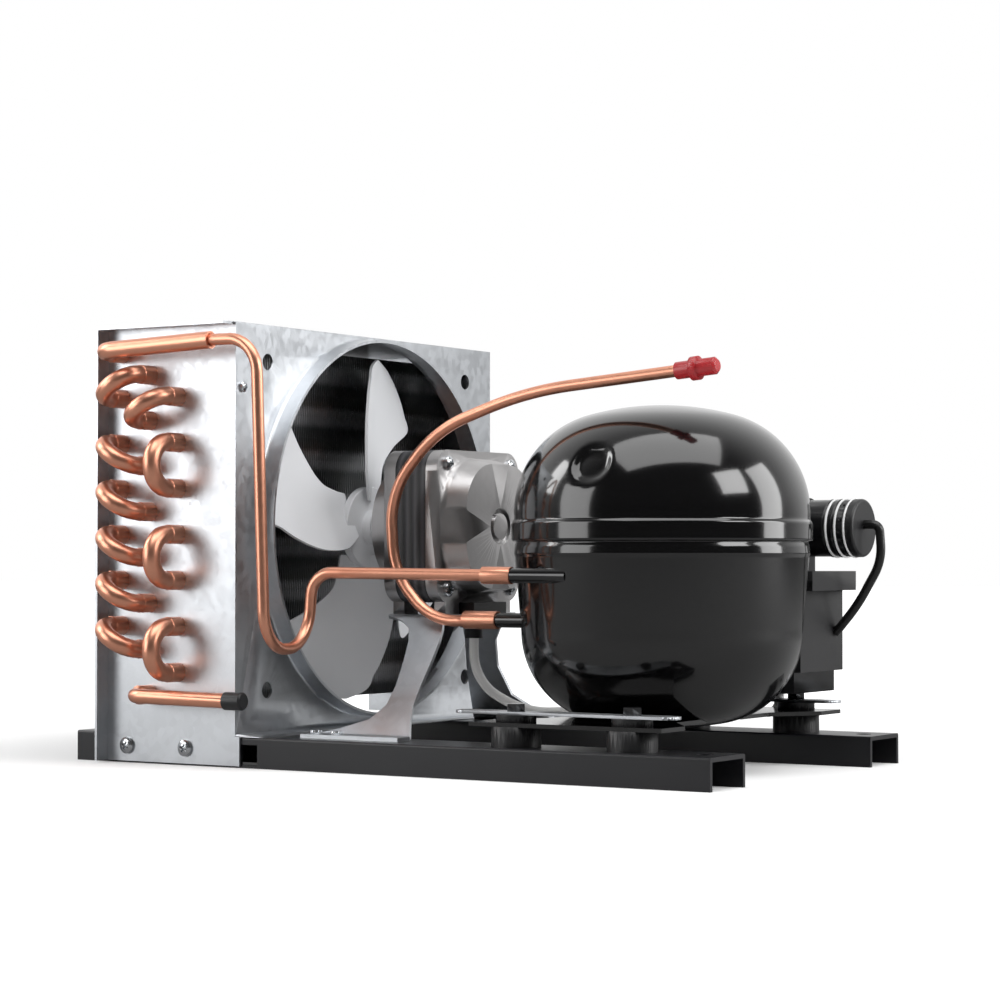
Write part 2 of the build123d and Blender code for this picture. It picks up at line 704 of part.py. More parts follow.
foot_upper = rail_height + stand_wall
front_knee_y = front_foot_y + stand_foot_depth / 2
rear_knee_y = rear_foot_y - stand_foot_depth / 2
stand_profile = [
    (front_foot_y - stand_foot_depth / 2, foot_upper), (front_knee_y, foot_upper),
    (-stand_half_width, stand_top), (stand_half_width, stand_top),
    (rear_knee_y, foot_upper), (rear_foot_y + stand_foot_depth / 2, foot_upper),
]
with BuildPart() as motor_bracket:
    with BuildSketch(Plane.YZ.offset(stand_x - 60)):
        with BuildLine():
            Polyline(*bent_sheet(stand_profile, stand_wall), close=True)
        make_face()
    extrude(amount=120)
    # Plan of the sheet: each leg is waisted and flares on one side to its foot. The
    # far leg is the near one turned half a turn, cut short by the nearer rail.
    front_end, rear_end = front_foot_y - stand_foot_depth, rear_foot_y + stand_foot_depth
    edge = stand_half_width
    with BuildSketch(Plane.XY):
        with Locations((stand_x, 0)):
            with BuildLine():
                Polyline((-28, edge), (-28, -20), (-10, -edge))
                Spline((-10, -edge), (0, -edge - 2.5), (8, -edge - 8), (14.6, -edge - 19),
                       (18.6, -edge - 30), (21, front_knee_y + 9.5), (12.6, front_knee_y + 4),
                       (-24, front_knee_y))
                Polyline((-24, front_knee_y), (-25, front_end), (39, front_end),
                         (39.4, front_knee_y + 6.4))
                Spline((39.4, front_knee_y + 6.4), (38, -edge - 33), (34, -edge - 18.7),
                       (28, -edge - 3.1))
                Polyline((28, -edge - 3.1), (28, 20), (10, edge))
                Spline((10, edge), (0, edge + 2.5), (-8, edge + 8), (-11.5, edge + 15),
                       (-3, rear_knee_y - 4), (24, rear_knee_y))
                Polyline((24, rear_knee_y), (25, rear_end), (-38, rear_end), (-36, rear_knee_y - 4.6),
                         (-33, edge + 14.5), (-28, edge))
            make_face()
    extrude(amount=stand_top + 5, mode=Mode.INTERSECT)
    rod_z(0, stand_top, small_screw_radius, front_rivets + rear_rivets, Mode.SUBTRACT)
    rod_z(0, stand_top, gland_radius, [(gland_x, 0)], Mode.SUBTRACT)
save(motor_bracket, "motor_bracket")

with BuildPart() as bracket_rivets:
    rod_z(foot_upper, foot_upper + 2, 3.4, front_rivets + rear_rivets)
    rod_z(rail_height - rail_wall, foot_upper, small_screw_radius, front_rivets + rear_rivets)
save(bracket_rivets, "bracket_rivets")

with BuildPart() as motor_terminal_box:
    with Locations((gland_x - 1, 0, (stand_top + motor_bottom) / 2)):
        Box(24, 34, motor_bottom - stand_top)
    rod_z(stand_top, stand_top + 3, gland_radius, [(gland_x, 0)], Mode.SUBTRACT)
save(motor_terminal_box, "motor_terminal_box")

gland_foot = stand_top - stand_wall - 12.0
with BuildPart() as cable_gland:
    rod_z(stand_top - stand_wall - 6, stand_top - stand_wall, gland_nut_radius, [(gland_x, 0)])
    rod_z(gland_foot, stand_top + 3, gland_radius, [(gland_x, 0)])
    rod_z(gland_foot, stand_top + 3, sleeve_diameter / 2, [(gland_x, 0)], Mode.SUBTRACT)
save(cable_gland, "cable_gland")

# ---------------------------------------------------------- compressor shell
shell_plane = Plane(origin=(compressor_x, compressor_y, 0), x_dir=(1, 0, 0), z_dir=(0, -1, 0))
shell_axis = Axis((compressor_x, compressor_y, 0), (0, 0, 1))


def dished_end(radius, apex, fillet_r, crown_r, way, inset):
    """Points of a dished end from its side to its apex, a given depth inside the
    outer face: spring, middle of the corner arc, joint, middle of the crown, apex."""
    crown_z = apex - way * crown_r
    corner_x = radius - fillet_r
    rise = sqrt((crown_r - fillet_r) ** 2 - corner_x ** 2)
    corner_z = crown_z + way * rise
    join = atan2(corner_x, rise)
    corner_r, dish_r = fillet_r - inset, crown_r - inset
    half_way = (pi / 2 + join) / 2
    return [
        (corner_x + corner_r, corner_z),
        (corner_x + corner_r * sin(half_way), corner_z + way * corner_r * cos(half_way)),
        (dish_r * sin(join), crown_z + way * dish_r * cos(join)),
        (dish_r * sin(join / 2), crown_z + way * dish_r * cos(join / 2)),
        (0, crown_z + way * dish_r),
    ]


dome_outer = dished_end(shell_radius, shell_top, dome_fillet, dome_crown, 1, 0)
dome_inner = dished_end(shell_radius, shell_top, dome_fillet, dome_crown, 1, shell_wall)
bowl_outer = dished_end(shell_low_radius, shell_bottom, bowl_fillet, bowl_crown, -1, 0)
bowl_inner = dished_end(shell_low_radius, shell_bottom, bowl_fillet, bowl_crown, -1, shell_wall)

with BuildPart() as bowl_solid:
    # The whole outside of the bowl, for seating what is welded to it.
    with BuildSketch(shell_plane):
        with BuildLine():
            ThreePointArc(bowl_outer[0], bowl_outer[1], bowl_outer[2])
            ThreePointArc(bowl_outer[2], bowl_outer[3], bowl_outer[4])
            Polyline(bowl_outer[4], (0, seam_top), (shell_radius, seam_top),
                     (shell_radius, seam_bottom), bowl_outer[0])
        make_face()
    revolve(axis=shell_axis)

with BuildPart() as bowl_cavity:
    # The inside of the bowl, for seating the springs in it.
    with BuildSketch(shell_plane):
        with BuildLine():
            ThreePointArc(bowl_inner[0], bowl_inner[1], bowl_inner[2])
            ThreePointArc(bowl_inner[2], bowl_inner[3], bowl_inner[4])
            Polyline(bowl_inner[4], (0, seam_bottom), (shell_low_radius - shell_wall, seam_bottom),
                     bowl_inner[0])
        make_face()
    revolve(axis=shell_axis)

discharge_y, discharge_z = compressor_y - 73.8, 105.0
suction_y, suction_z = compressor_y - 43.8, 80.6
discharge_face_x, suction_face_x = compressor_x - 49.2, compressor_x - 77.0


def stub_rod(face_x, y, z, depth, radius, mode=Mode.ADD):
    """The outside of a pipe stub on the shell, added or cut."""
    with BuildSketch(Plane.YZ.offset(face_x)) as end:
        with Locations((y, z)):
            Circle(radius)
    extrude(end.sketch, amount=depth, mode=mode)


discharge_stub_length, suction_stub_length = 34.0, 24.0
with BuildPart() as shell_lower:
    with BuildSketch(shell_plane):
        with BuildLine():
            ThreePointArc(bowl_outer[0], bowl_outer[1], bowl_outer[2])
            ThreePointArc(bowl_outer[2], bowl_outer[3], bowl_outer[4])
            Line(bowl_outer[4], bowl_inner[4])
            ThreePointArc(bowl_inner[4], bowl_inner[3], bowl_inner[2])
            ThreePointArc(bowl_inner[2], bowl_inner[1], bowl_inner[0])
            Polyline(bowl_inner[0], (shell_radius - shell_wall, seam_bottom),
                     (shell_radius - shell_wall, seam_top - 3), (shell_radius, seam_top - 3),
                     (shell_radius, seam_bottom), (shell_radius - 0.6, seam_bottom - 0.6),
                     bowl_outer[0])
        make_face()
    revolve(axis=shell_axis)
    stub_rod(discharge_face_x, discharge_y, discharge_z, discharge_stub_length,
             stub_diameter / 2, Mode.SUBTRACT)
    stub_rod(suction_face_x, suction_y, suction_z, suction_stub_length,
             stub_diameter / 2, Mode.SUBTRACT)
save(shell_lower, "shell_lower")

skirt_radius = shell_radius + skirt_step
with BuildPart() as shell_upper:
    with BuildSketch(shell_plane):
        with BuildLine():
            ThreePointArc(dome_outer[0], dome_outer[1], dome_outer[2])
            ThreePointArc(dome_outer[2], dome_outer[3], dome_outer[4])
            Line(dome_outer[4], dome_inner[4])
            ThreePointArc(dome_inner[4], dome_inner[3], dome_inner[2])
            ThreePointArc(dome_inner[2], dome_inner[1], dome_inner[0])
            Polyline(dome_inner[0], (shell_radius - shell_wall, seam_top - 3),
                     (shell_radius, seam_top - 3), (shell_radius, seam_middle),
                     (skirt_radius, seam_middle), (skirt_radius, seam_top - 1.5),
                     (shell_radius, seam_top), dome_outer[0])
        make_face()
    revolve(axis=shell_axis)
save(shell_upper, "shell_upper")

with BuildPart() as discharge_stub:
    stub_rod(discharge_face_x, discharge_y, discharge_z, discharge_stub_length, stub_diameter / 2)
    stub_rod(discharge_face_x, discharge_y, discharge_z, discharge_stub_length,
             pipe_diameter / 2 - pipe_wall, Mode.SUBTRACT)
save(discharge_stub, "discharge_stub")
with BuildPart() as suction_stub:
    stub_rod(suction_face_x, suction_y, suction_z, suction_stub_length, stub_diameter / 2)
    stub_rod(suction_face_x, suction_y, suction_z, suction_stub_length,
             pipe_diameter / 2 - pipe_wall, Mode.SUBTRACT)
save(suction_stub, "suction_stub")

# ------------------------------------------------------------ compressor feet
foot_plate_length = 114.0
foot_plate_lip = 10.6


def make_foot_plate(centre_y, way):
    """Foot plate over one rail, running in under the bowl and welded to it."""
    outer_y = centre_y + way * foot_plate_lip
    shoulder_y = centre_y - way * 14.0
    inner_y = compressor_y + way * 20.0
    half = foot_plate_length / 2
    with BuildPart() as plate:
        with BuildSketch(Plane.XY.offset(foot_bottom)):
            with BuildLine():
                Polyline(
                    (compressor_x - half, outer_y), (compressor_x + half, outer_y),
                    (compressor_x + half, shoulder_y), (compressor_x + 38, centre_y - way * 40),
                    (compressor_x + 38, inner_y), (compressor_x - 38, inner_y),
                    (compressor_x - 38, centre_y - way * 40), (compressor_x - half, shoulder_y),
                    close=True,
                )
            make_face()
            with Locations(*[(x, centre_y) for x in grommet_xs]):
                Circle(grommet_neck / 2, mode=Mode.SUBTRACT)
        extrude(amount=foot_thickness)
        add(bowl_solid.part, mode=Mode.SUBTRACT)
    return plate


front_foot_plate = make_foot_plate(front_rail_y, -1)
save(front_foot_plate, "front_foot_plate")
rear_foot_plate = make_foot_plate(rear_rail_y, 1)
save(rear_foot_plate, "rear_foot_plate")

grommet_spots = [(x, y) for x in grommet_xs for y in (front_rail_y, rear_rail_y)]
with BuildPart() as grommets:
    rod_z(rail_height, foot_bottom, grommet_diameter / 2, grommet_spots)
    rod_z(foot_bottom, foot_top, grommet_neck / 2, grommet_spots)
    rod_z(foot_top, strap_bottom, grommet_neck / 2 + 2.5, grommet_spots)
    rod_z(rail_height, strap_bottom, stud_diameter / 2, grommet_spots, Mode.SUBTRACT)
save(grommets, "grommets")

strap_width = 14.0
strap_length = 132.0
with BuildPart() as hold_down_straps:
    with BuildSketch(Plane.XY.offset(strap_bottom)):
        for y in (front_rail_y, rear_rail_y):
            with Locations((compressor_x - 4.4, y)):
                SlotOverall(strap_length, strap_width)
        with Locations(*grommet_spots):
            Circle(stud_diameter / 2, mode=Mode.SUBTRACT)
    extrude(amount=strap_thickness)
save(hold_down_straps, "hold_down_straps")

bolt_head = 4.0
bolt_nut = 5.0
with BuildPart() as grommet_bolts:
    rod_z(rail_height - rail_wall - bolt_nut - 1, strap_top, stud_diameter / 2, grommet_spots)
    with BuildSketch(Plane.XY.offset(strap_top)):
        with Locations(*grommet_spots):
            RegularPolygon(5.2, 6)
    extrude(amount=bolt_head)
    with BuildSketch(Plane.XY.offset(rail_height - rail_wall - bolt_nut)):
        with Locations(*grommet_spots):
            RegularPolygon(5.8, 6)
    extrude(amount=bolt_nut)
save(grommet_bolts, "grommet_bolts")

# --------------------------------------------------------- refrigerant pipes
collar_length = 17.0
riser_x, riser_y = shroud_x + 31.0, header_y
drop_y = front_rail_y + 3.4
discharge_start = (discharge_face_x, discharge_y, discharge_z)
discharge_turn = (stand_x - 22.5, drop_y, discharge_z + 1.5)
discharge_points = [
    discharge_start, discharge_turn,
    (stand_x - 26.0, drop_y, 65.4), (stand_x - 20.5, riser_y, 65.4),
    (riser_x, riser_y, inlet_end_z), (inlet_end_x - socket_depth, riser_y, inlet_end_z),
]
with BuildPart() as discharge_pipe:
    add(routed_tube(discharge_points, pipe_diameter, radii=[13.0, 21.0, 21.0, 19.0]))
    way_out = Vector(*discharge_turn) - Vector(*discharge_start)
    with BuildSketch(Plane(origin=discharge_start, z_dir=way_out)):
        Circle(discharge_collar_diameter / 2)
    extrude(amount=collar_length)
    stub_rod(discharge_face_x, discharge_y, discharge_z, 5, stub_diameter, Mode.SUBTRACT)
save(discharge_pipe, "discharge_pipe")

suction_start = (suction_face_x, suction_y, suction_z)
suction_points = [
    suction_start, (compressor_x - 120.0, suction_y, suction_z - 1),
    (compressor_x - 145.0, suction_y, 105.0), (compressor_x - 148.5, suction_y, 150.0),
    (compressor_x - 118.0, suction_y, 184.5), (compressor_x - 59.0, suction_y, 204.0),
    (compressor_x + 57.5, suction_y, 213.8),
]
plug_length = 24.0
plug_radius = 4.6
plug_collar_radius = 6.3
with BuildPart() as suction_pipe:
    add(routed_tube(suction_points, pipe_diameter))
    rod_x(suction_face_x - 21.0, suction_face_x, suction_collar_diameter / 2, suction_y, suction_z)
    stub_rod(suction_face_x, suction_y, suction_z, 5, stub_diameter, Mode.SUBTRACT)
    last_way = (Vector(*suction_points[-1]) - Vector(*suction_points[-2])).normalized()
    plug_end = Vector(*suction_points[-1])
    with BuildSketch(Plane(origin=plug_end - last_way * 6, z_dir=last_way)):
        Circle(6)
    extrude(amount=12, mode=Mode.SUBTRACT)
save(suction_pipe, "suction_pipe")

with BuildPart() as suction_plug:
    plug_start = plug_end - last_way * plug_length
    with BuildSketch(Plane(origin=plug_start, z_dir=last_way)):
        Circle(plug_radius)
    extrude(amount=plug_length)
    chamfer(suction_plug.edges().filter_by(GeomType.CIRCLE).sort_by(Axis.X)[-1], 1.6)
    with BuildSketch(Plane(origin=plug_start + last_way * 9, z_dir=last_way)):
        Circle(plug_collar_radius)
    extrude(amount=4)
    add(suction_pipe.part, mode=Mode.SUBTRACT)
save(suction_plug, "suction_plug")

# ---------------------------------------------------------------- electrical
relay_y = rear_rail_y + 3.0
relay_low_x, relay_high_x = compressor_x - 8.0, compressor_x + 53.6
relay_bottom, relay_split, relay_top = strap_top + bolt_head + 0.6, 51.3, 96.3
lid_bottom, lid_top = 96.3, 107.0
relay_inner_y, relay_outer_y = compressor_y + 60.0, rear_rail_y + 24.0


def relay_block(x_low, x_high, z_low, z_high, y_high):
    """A box on the far side of the bowl, added to the open part."""
    centre = ((x_low + x_high) / 2, (relay_inner_y + y_high) / 2, (z_low + z_high) / 2)
    with Locations(centre):
        Box(x_high - x_low, y_high - relay_inner_y, z_high - z_low)


with BuildPart() as relay_box_base:
    relay_block(relay_low_x, relay_high_x, relay_split, relay_top, relay_outer_y)
    fillet(relay_box_base.edges().filter_by(Axis.Z).sort_by(Axis.Y)[-2:], 4)
    relay_block(relay_low_x, relay_high_x - 4, relay_bottom, relay_split, relay_outer_y - 6)
    add(bowl_solid.part, mode=Mode.SUBTRACT)
save(relay_box_base, "relay_box_base")

with BuildPart() as relay_box_cover:
    relay_block(relay_low_x - 2, relay_high_x + 7.4, lid_bottom, lid_top, relay_outer_y + 2)
    fillet(relay_box_cover.edges().filter_by(Axis.Z).sort_by(Axis.Y)[-2:], 4)
    add(bowl_solid.part, mode=Mode.SUBTRACT)
save(relay_box_cover, "relay_box_cover")

capacitor_y, capacitor_z = relay_y + 8.0, 131.1
capacitor_end_x = compressor_x + 71.8
capacitor_low_x = capacitor_end_x - capacitor_length
cap_start_x = capacitor_end_x - 7.0
with BuildPart() as start_capacitor:
    rod_x(capacitor_low_x, cap_start_x, capacitor_radius, capacitor_y, capacitor_z)
    for back in (12.5, 17.8):
        rod_x(capacitor_end_x - back - 1, capacitor_end_x - back, capacitor_radius + 0.4,
              capacitor_y, capacitor_z)
save(start_capacitor, "start_capacitor")

with BuildPart() as capacitor_cap:
    rod_x(cap_start_x, capacitor_end_x, capacitor_radius + 0.3, capacitor_y, capacitor_z)
    fillet(capacitor_cap.edges().filter_by(GeomType.CIRCLE).sort_by(Axis.X)[-1], 1.5)
save(capacitor_cap, "capacitor_cap")

band_x = compressor_x + 24.0
band_width = 14.0
with BuildPart() as capacitor_strap:
    with BuildSketch(Plane.YZ.offset(band_x)):
        with Locations((capacitor_y, capacitor_z)):
            Circle(capacitor_radius + 1.2)
            Circle(capacitor_radius, mode=Mode.SUBTRACT)
        saddle_z = (lid_top + capacitor_z - capacitor_radius) / 2
        with Locations((capacitor_y, saddle_z)):
            Rectangle(14, capacitor_z - capacitor_radius - lid_top)
    extrude(amount=band_width)
save(capacitor_strap, "capacitor_strap")

lead_start_z = capacitor_z + 2
with BuildPart() as capacitor_lead:
    lead_points = [
        (capacitor_end_x, capacitor_y, lead_start_z), (capacitor_end_x + 9, capacitor_y, lead_start_z),
        (capacitor_end_x + 10.5, capacitor_y, 113.0), (relay_high_x + 14, capacitor_y, 88.0),
        (relay_high_x, capacitor_y, 72.0),
    ]
    add(routed_tube(lead_points, lead_diameter))
    add(relay_box_base.part, mode=Mode.SUBTRACT)
save(capacitor_lead, "capacitor_lead")

sleeve_points = [
    (gland_x, 0, stand_top), (gland_x, 0, 44.0), (gland_x + 18, 26.0, 25.5),
    (gland_x + 44, 60.0, 25.5), (gland_x + 62, 104.0, 25.5), (gland_x + 112, 108.0, 25.5),
    (relay_low_x + 20, relay_outer_y - 2, 25.5),
    (relay_low_x + 26, relay_outer_y - 9.8, relay_bottom + 0.5),
]
with BuildPart() as motor_lead:
    add(routed_tube(sleeve_points, sleeve_diameter))
    add(relay_box_base.part, mode=Mode.SUBTRACT)
save(motor_lead, "motor_lead")
for name, points in (("capacitor lead", lead_points), ("motor lead", sleeve_points)):
    print(name, "arc radii", [round(radius, 1) for radius in easy_radii(points)])

# ------------------------------------------------------- compressor internals
stack_low, stack_high = 52.0, 84.0
stator_outer, stator_inner = 57.0, 31.0
crank_radius, crank_offset, pin_radius = 8.0, 7.0, 5.5
centre = (compressor_x, compressor_y)


def ring_z(z_low, z_high, outer, inner=0.0):
    """A disc or ring about the compressor's axis."""
    with BuildSketch(Plane.XY.offset(z_low)) as end:
        with Locations(centre):
            Circle(outer)
            if inner:
                Circle(inner, mode=Mode.SUBTRACT)
    extrude(end.sketch, amount=z_high - z_low)


with BuildPart() as compressor_stator:
    ring_z(stack_low, stack_high, stator_outer, stator_inner)
save(compressor_stator, "compressor_stator")
with BuildPart() as compressor_windings:
    ring_z(stack_high, stack_high + 11, stator_outer - 12, stator_inner + 3)
    ring_z(stack_low - 11, stack_low, stator_outer - 12, stator_inner + 3)
save(compressor_windings, "compressor_windings")
with BuildPart() as compressor_rotor:
    ring_z(stack_low, stack_high, stator_inner - 0.5, crank_radius)
save(compressor_rotor, "compressor_rotor")

deck_low, deck_high = stack_high + 14, stack_high + 24
bore_z = deck_high + 20
bore_r = 12.0
cylinder_start, cylinder_end = 18.0, 48.0
with BuildPart() as cylinder_block:
    ring_z(deck_low, deck_high, stator_outer)
    leg_spots = [
        (compressor_x + 51 * cos(radians(a)), compressor_y + 51 * sin(radians(a)))
        for a in (45, 135, 225, 315)
    ]
    rod_z(stack_high, deck_low, 5.0, leg_spots)
    with Locations((compressor_x + (cylinder_start + cylinder_end) / 2, compressor_y, bore_z - 1)):
        Box(cylinder_end - cylinder_start, 36, 38)
    with BuildSketch(Plane.YZ.offset(compressor_x + cylinder_start)):
        with Locations((compressor_y, bore_z)):
            Circle(bore_r)
    extrude(amount=cylinder_end - cylinder_start, mode=Mode.SUBTRACT)
    rod_z(deck_low, deck_high, crank_radius + shaft_clearance, [centre], Mode.SUBTRACT)
save(cylinder_block, "cylinder_block")

web_low, web_high = deck_high, deck_high + 6
pin_spot = [(compressor_x + crank_offset, compressor_y)]
with BuildPart() as crankshaft:
    rod_z(stack_low - 6, web_low, crank_radius, [centre])
    rod_z(web_low, web_high, 15.0, [centre])
    rod_z(web_high, bore_z + 7, pin_radius, pin_spot)
save(crankshaft, "crankshaft")

piston_x = compressor_x + 26.0
with BuildPart() as piston:
    with BuildSketch(Plane.YZ.offset(piston_x)):
        with Locations((compressor_y, bore_z)):
            Circle(bore_r - shaft_clearance)
    extrude(amount=16)
save(piston, "piston")

with BuildPart() as connecting_rod:
    rod_z(bore_z - 6, bore_z + 6, pin_radius + 4, pin_spot)
    with Locations(((pin_spot[0][0] + piston_x) / 2 + 2, compressor_y, bore_z)):
        Box(piston_x - pin_spot[0][0] - 4, 7, 8)
    rod_z(bore_z - 8, bore_z + 8, pin_radius + shaft_clearance, pin_spot, Mode.SUBTRACT)
save(connecting_rod, "connecting_rod")

with BuildPart() as cylinder_head:
    with Locations((compressor_x + cylinder_end + 4, compressor_y, bore_z - 1)):
        Box(8, 34, 36)
save(cylinder_head, "cylinder_head")

with BuildPart() as discharge_muffler:
    rod_z(deck_high, deck_high + 28, 13.0, [(compressor_x - 34, compressor_y)])
    fillet(discharge_muffler.edges().filter_by(GeomType.CIRCLE).sort_by(Axis.Z)[-1], 5)
save(discharge_muffler, "discharge_muffler")

spring_spots = [
    (compressor_x + 52 * cos(radians(a)), compressor_y + 52 * sin(radians(a)))
    for a in (0, 90, 180, 270)
]
with BuildPart() as suspension_springs:
    rod_z(30, stack_low, 5.0, spring_spots)
    rod_z(30, stack_low, 3.4, spring_spots, Mode.SUBTRACT)
    add(bowl_cavity.part, mode=Mode.INTERSECT)
save(suspension_springs, "suspension_springs")
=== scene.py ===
# %% [markdown]
# # A condensing unit, dressed for the camera
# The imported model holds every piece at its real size, in metres, with +X along the rails, +Z up and the
# floor at Z = 0. This file adds a camera, soft studio light, finishes and smooth copies of the round parts.
# It makes anew the pieces whose real surface is finer than the solids or stands otherwise: the dense fins,
# the compressor shell, the fan, the motor stand, the screw heads and the capacitor's rings.

# %% Load the frame and keep its box
import json
import math
import bmesh
import bpy
import numpy as np
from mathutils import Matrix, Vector

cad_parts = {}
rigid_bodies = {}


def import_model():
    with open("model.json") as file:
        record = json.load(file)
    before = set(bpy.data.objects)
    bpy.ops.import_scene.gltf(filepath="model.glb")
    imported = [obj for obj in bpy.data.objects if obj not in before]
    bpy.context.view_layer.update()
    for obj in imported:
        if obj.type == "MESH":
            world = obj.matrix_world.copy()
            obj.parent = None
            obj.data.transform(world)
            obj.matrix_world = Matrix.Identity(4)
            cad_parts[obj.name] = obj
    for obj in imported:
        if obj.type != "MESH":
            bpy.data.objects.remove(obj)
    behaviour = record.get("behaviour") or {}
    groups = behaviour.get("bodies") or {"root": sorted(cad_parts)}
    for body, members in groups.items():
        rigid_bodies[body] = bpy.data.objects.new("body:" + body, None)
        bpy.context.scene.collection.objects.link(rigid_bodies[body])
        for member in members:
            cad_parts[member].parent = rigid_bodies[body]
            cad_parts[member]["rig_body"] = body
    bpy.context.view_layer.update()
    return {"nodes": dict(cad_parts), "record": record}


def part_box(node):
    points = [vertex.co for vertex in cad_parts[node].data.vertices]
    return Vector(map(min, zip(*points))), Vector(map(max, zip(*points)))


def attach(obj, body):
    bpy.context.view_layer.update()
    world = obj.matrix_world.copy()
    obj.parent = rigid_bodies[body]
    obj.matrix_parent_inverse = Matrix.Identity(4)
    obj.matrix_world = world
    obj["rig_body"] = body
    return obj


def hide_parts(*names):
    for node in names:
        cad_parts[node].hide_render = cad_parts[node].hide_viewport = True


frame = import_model()
nodes = frame["nodes"]

# %% [markdown]
# ## Camera
# The unit is seen from its pipe side, a little from the compressor's end and from about the height of the
# fan. A long lens from well back keeps the rails nearly parallel. The angles are the turn to the left and
# the small upward tilt, which Blender takes as rotations about Z and X.

# %% Place the camera
camera_data = bpy.data.cameras.new("camera")
camera_data.lens = 96.2
camera_data.sensor_width = 36.0
camera = bpy.data.objects.new("camera", camera_data)
camera.location = (0.81366, -1.28311, 0.11333)
camera.rotation_euler = (math.radians(90 + 1.2822), 0, math.radians(32.3613))
bpy.context.scene.collection.objects.link(camera)
bpy.context.scene.camera = camera
bpy.context.scene.view_settings.view_transform = "Standard"
print("camera stands", round(camera.location.length, 2), "m from the unit")

# %% [markdown]
# ## Shader values as Python values
# A material is easier to read as sums than as wires. `Value` wraps one output socket, and its operators
# add Math nodes, so `0.3 + 0.1 * noise` is a shader expression. `Graph.node` makes any other node: its
# settings come first, because a setting such as an operation decides which sockets exist, and then its
# inputs.

# %% A small shader language
class Value:
    """One output socket. Arithmetic on it adds Math nodes to the same material."""

    def __init__(self, graph, socket):
        self.graph = graph
        self.socket = socket

    def _math(self, operation, first, second):
        return self.graph.node("Math", {"operation": operation}, {0: first, 1: second})

    def __add__(self, other):
        return self._math("ADD", self, other)

    def __radd__(self, other):
        return self._math("ADD", other, self)

    def __sub__(self, other):
        return self._math("SUBTRACT", self, other)

    def __rsub__(self, other):
        return self._math("SUBTRACT", other, self)

    def __mul__(self, other):
        return self._math("MULTIPLY", self, other)

    def __rmul__(self, other):
        return self._math("MULTIPLY", other, self)

    def __truediv__(self, other):
        return self._math("DIVIDE", self, other)


class Graph:
    """The nodes of one material or of the world, and the means to wire them to its shader."""

    def __init__(self, owner, shader="Principled BSDF"):
        owner.use_nodes = True
        self.owner = owner
        self.tree = owner.node_tree
        self.shader = self.tree.nodes[shader]

    def node(self, kind, settings=None, inputs=None, output=0):
        """Add one node of a kind, give its settings, then its inputs as values or links."""
        made = self.tree.nodes.new("ShaderNode" + kind)
        for name, value in (settings or {}).items():
            if name == "stops":
                for stop, (place, colour) in zip(made.color_ramp.elements, value):
                    stop.position = place
                    stop.color = colour
            else:
                setattr(made, name, value)
        for name, value in (inputs or {}).items():
            self.feed(made.inputs[name], value)
        return Value(self, made.outputs[output])

    def feed(self, socket, value):
        """Link a Value to a socket, or set a plain number or colour on it."""
        if isinstance(value, Value):
            self.tree.links.new(value.socket, socket)
        else:
            socket.default_value = value

    def set(self, **values):
        """Set inputs of the shader: Base_Color=..., Roughness=..."""
        for name, value in values.items():
            self.feed(self.shader.inputs[name.replace("_", " ")], value)

    def place(self, scale=(1, 1, 1)):
        """Object coordinates, stretched by a scale for each axis."""
        raw = self.node("TexCoord", output="Object")
        return self.node("Mapping", {}, {"Vector": raw, "Scale": scale})

    def noise(self, size, scale=(1, 1, 1), detail=2.0):
        """Smooth noise from 0 to 1 whose features are about `size` metres across."""
        return self.node("TexNoise", {}, {"Vector": self.place(scale), "Scale": 1 / size, "Detail": detail})

    def ramp(self, value, low, high, start=0.0, end=1.0):
        """A value that goes smoothly from `start` to `end` while its input goes from low to high."""
        limits = {"From Min": low, "From Max": high, "To Min": start, "To Max": end}
        return self.node("MapRange", {"interpolation_type": "SMOOTHSTEP"}, {"Value": value, **limits})

    def along(self, vector, way):
        """How far a vector reaches along a fixed direction: their dot product."""
        return self.node("VectorMath", {"operation": "DOT_PRODUCT"}, {0: vector, 1: way}, output="Value")

    def mix(self, factor, first, second):
        """Blend two colours by a factor."""
        return self.node(
            "Mix", {"data_type": "RGBA"}, {0: factor, 6: rgba(first), 7: rgba(second)}, output=2
        )

    def bump(self, height, depth, strength=1.0):
        """A normal from a height in 0..1 that stands for `depth` metres."""
        return self.node("Bump", {}, {"Height": height, "Distance": depth, "Strength": strength})


def rgba(colour):
    """A colour with its alpha, or a Value as it is."""
    return colour if isinstance(colour, Value) else (*colour, 1.0)


print("shader language ready")

# %% [markdown]
# ## Finishes
# Each finish is one function. Most share an idea: a base colour that drifts a little, a roughness that drifts
# with it, and a very fine bump, because no real sheet or casting is perfectly even.

# %% Painted, rubber and plastic finishes
finishes = {}


def plain_finish(name, colour, roughness, drift=0.15, grain=0.0006, depth=0.00002, coat=0.0, metallic=0.0):
    """A finish whose colour and roughness drift slowly, with a fine grain in its surface."""
    g = Graph(bpy.data.materials.new(name))
    slow = g.noise(0.03)
    darker = tuple(channel * (1 - drift) for channel in colour)
    g.set(Base_Color=g.mix(slow, darker, colour), Roughness=roughness * (0.85 + 0.3 * slow))
    g.set(Metallic=metallic, Coat_Weight=coat, Coat_Roughness=0.05)
    g.set(Normal=g.bump(g.noise(grain), depth, 0.4))
    finishes[name] = g
    return g


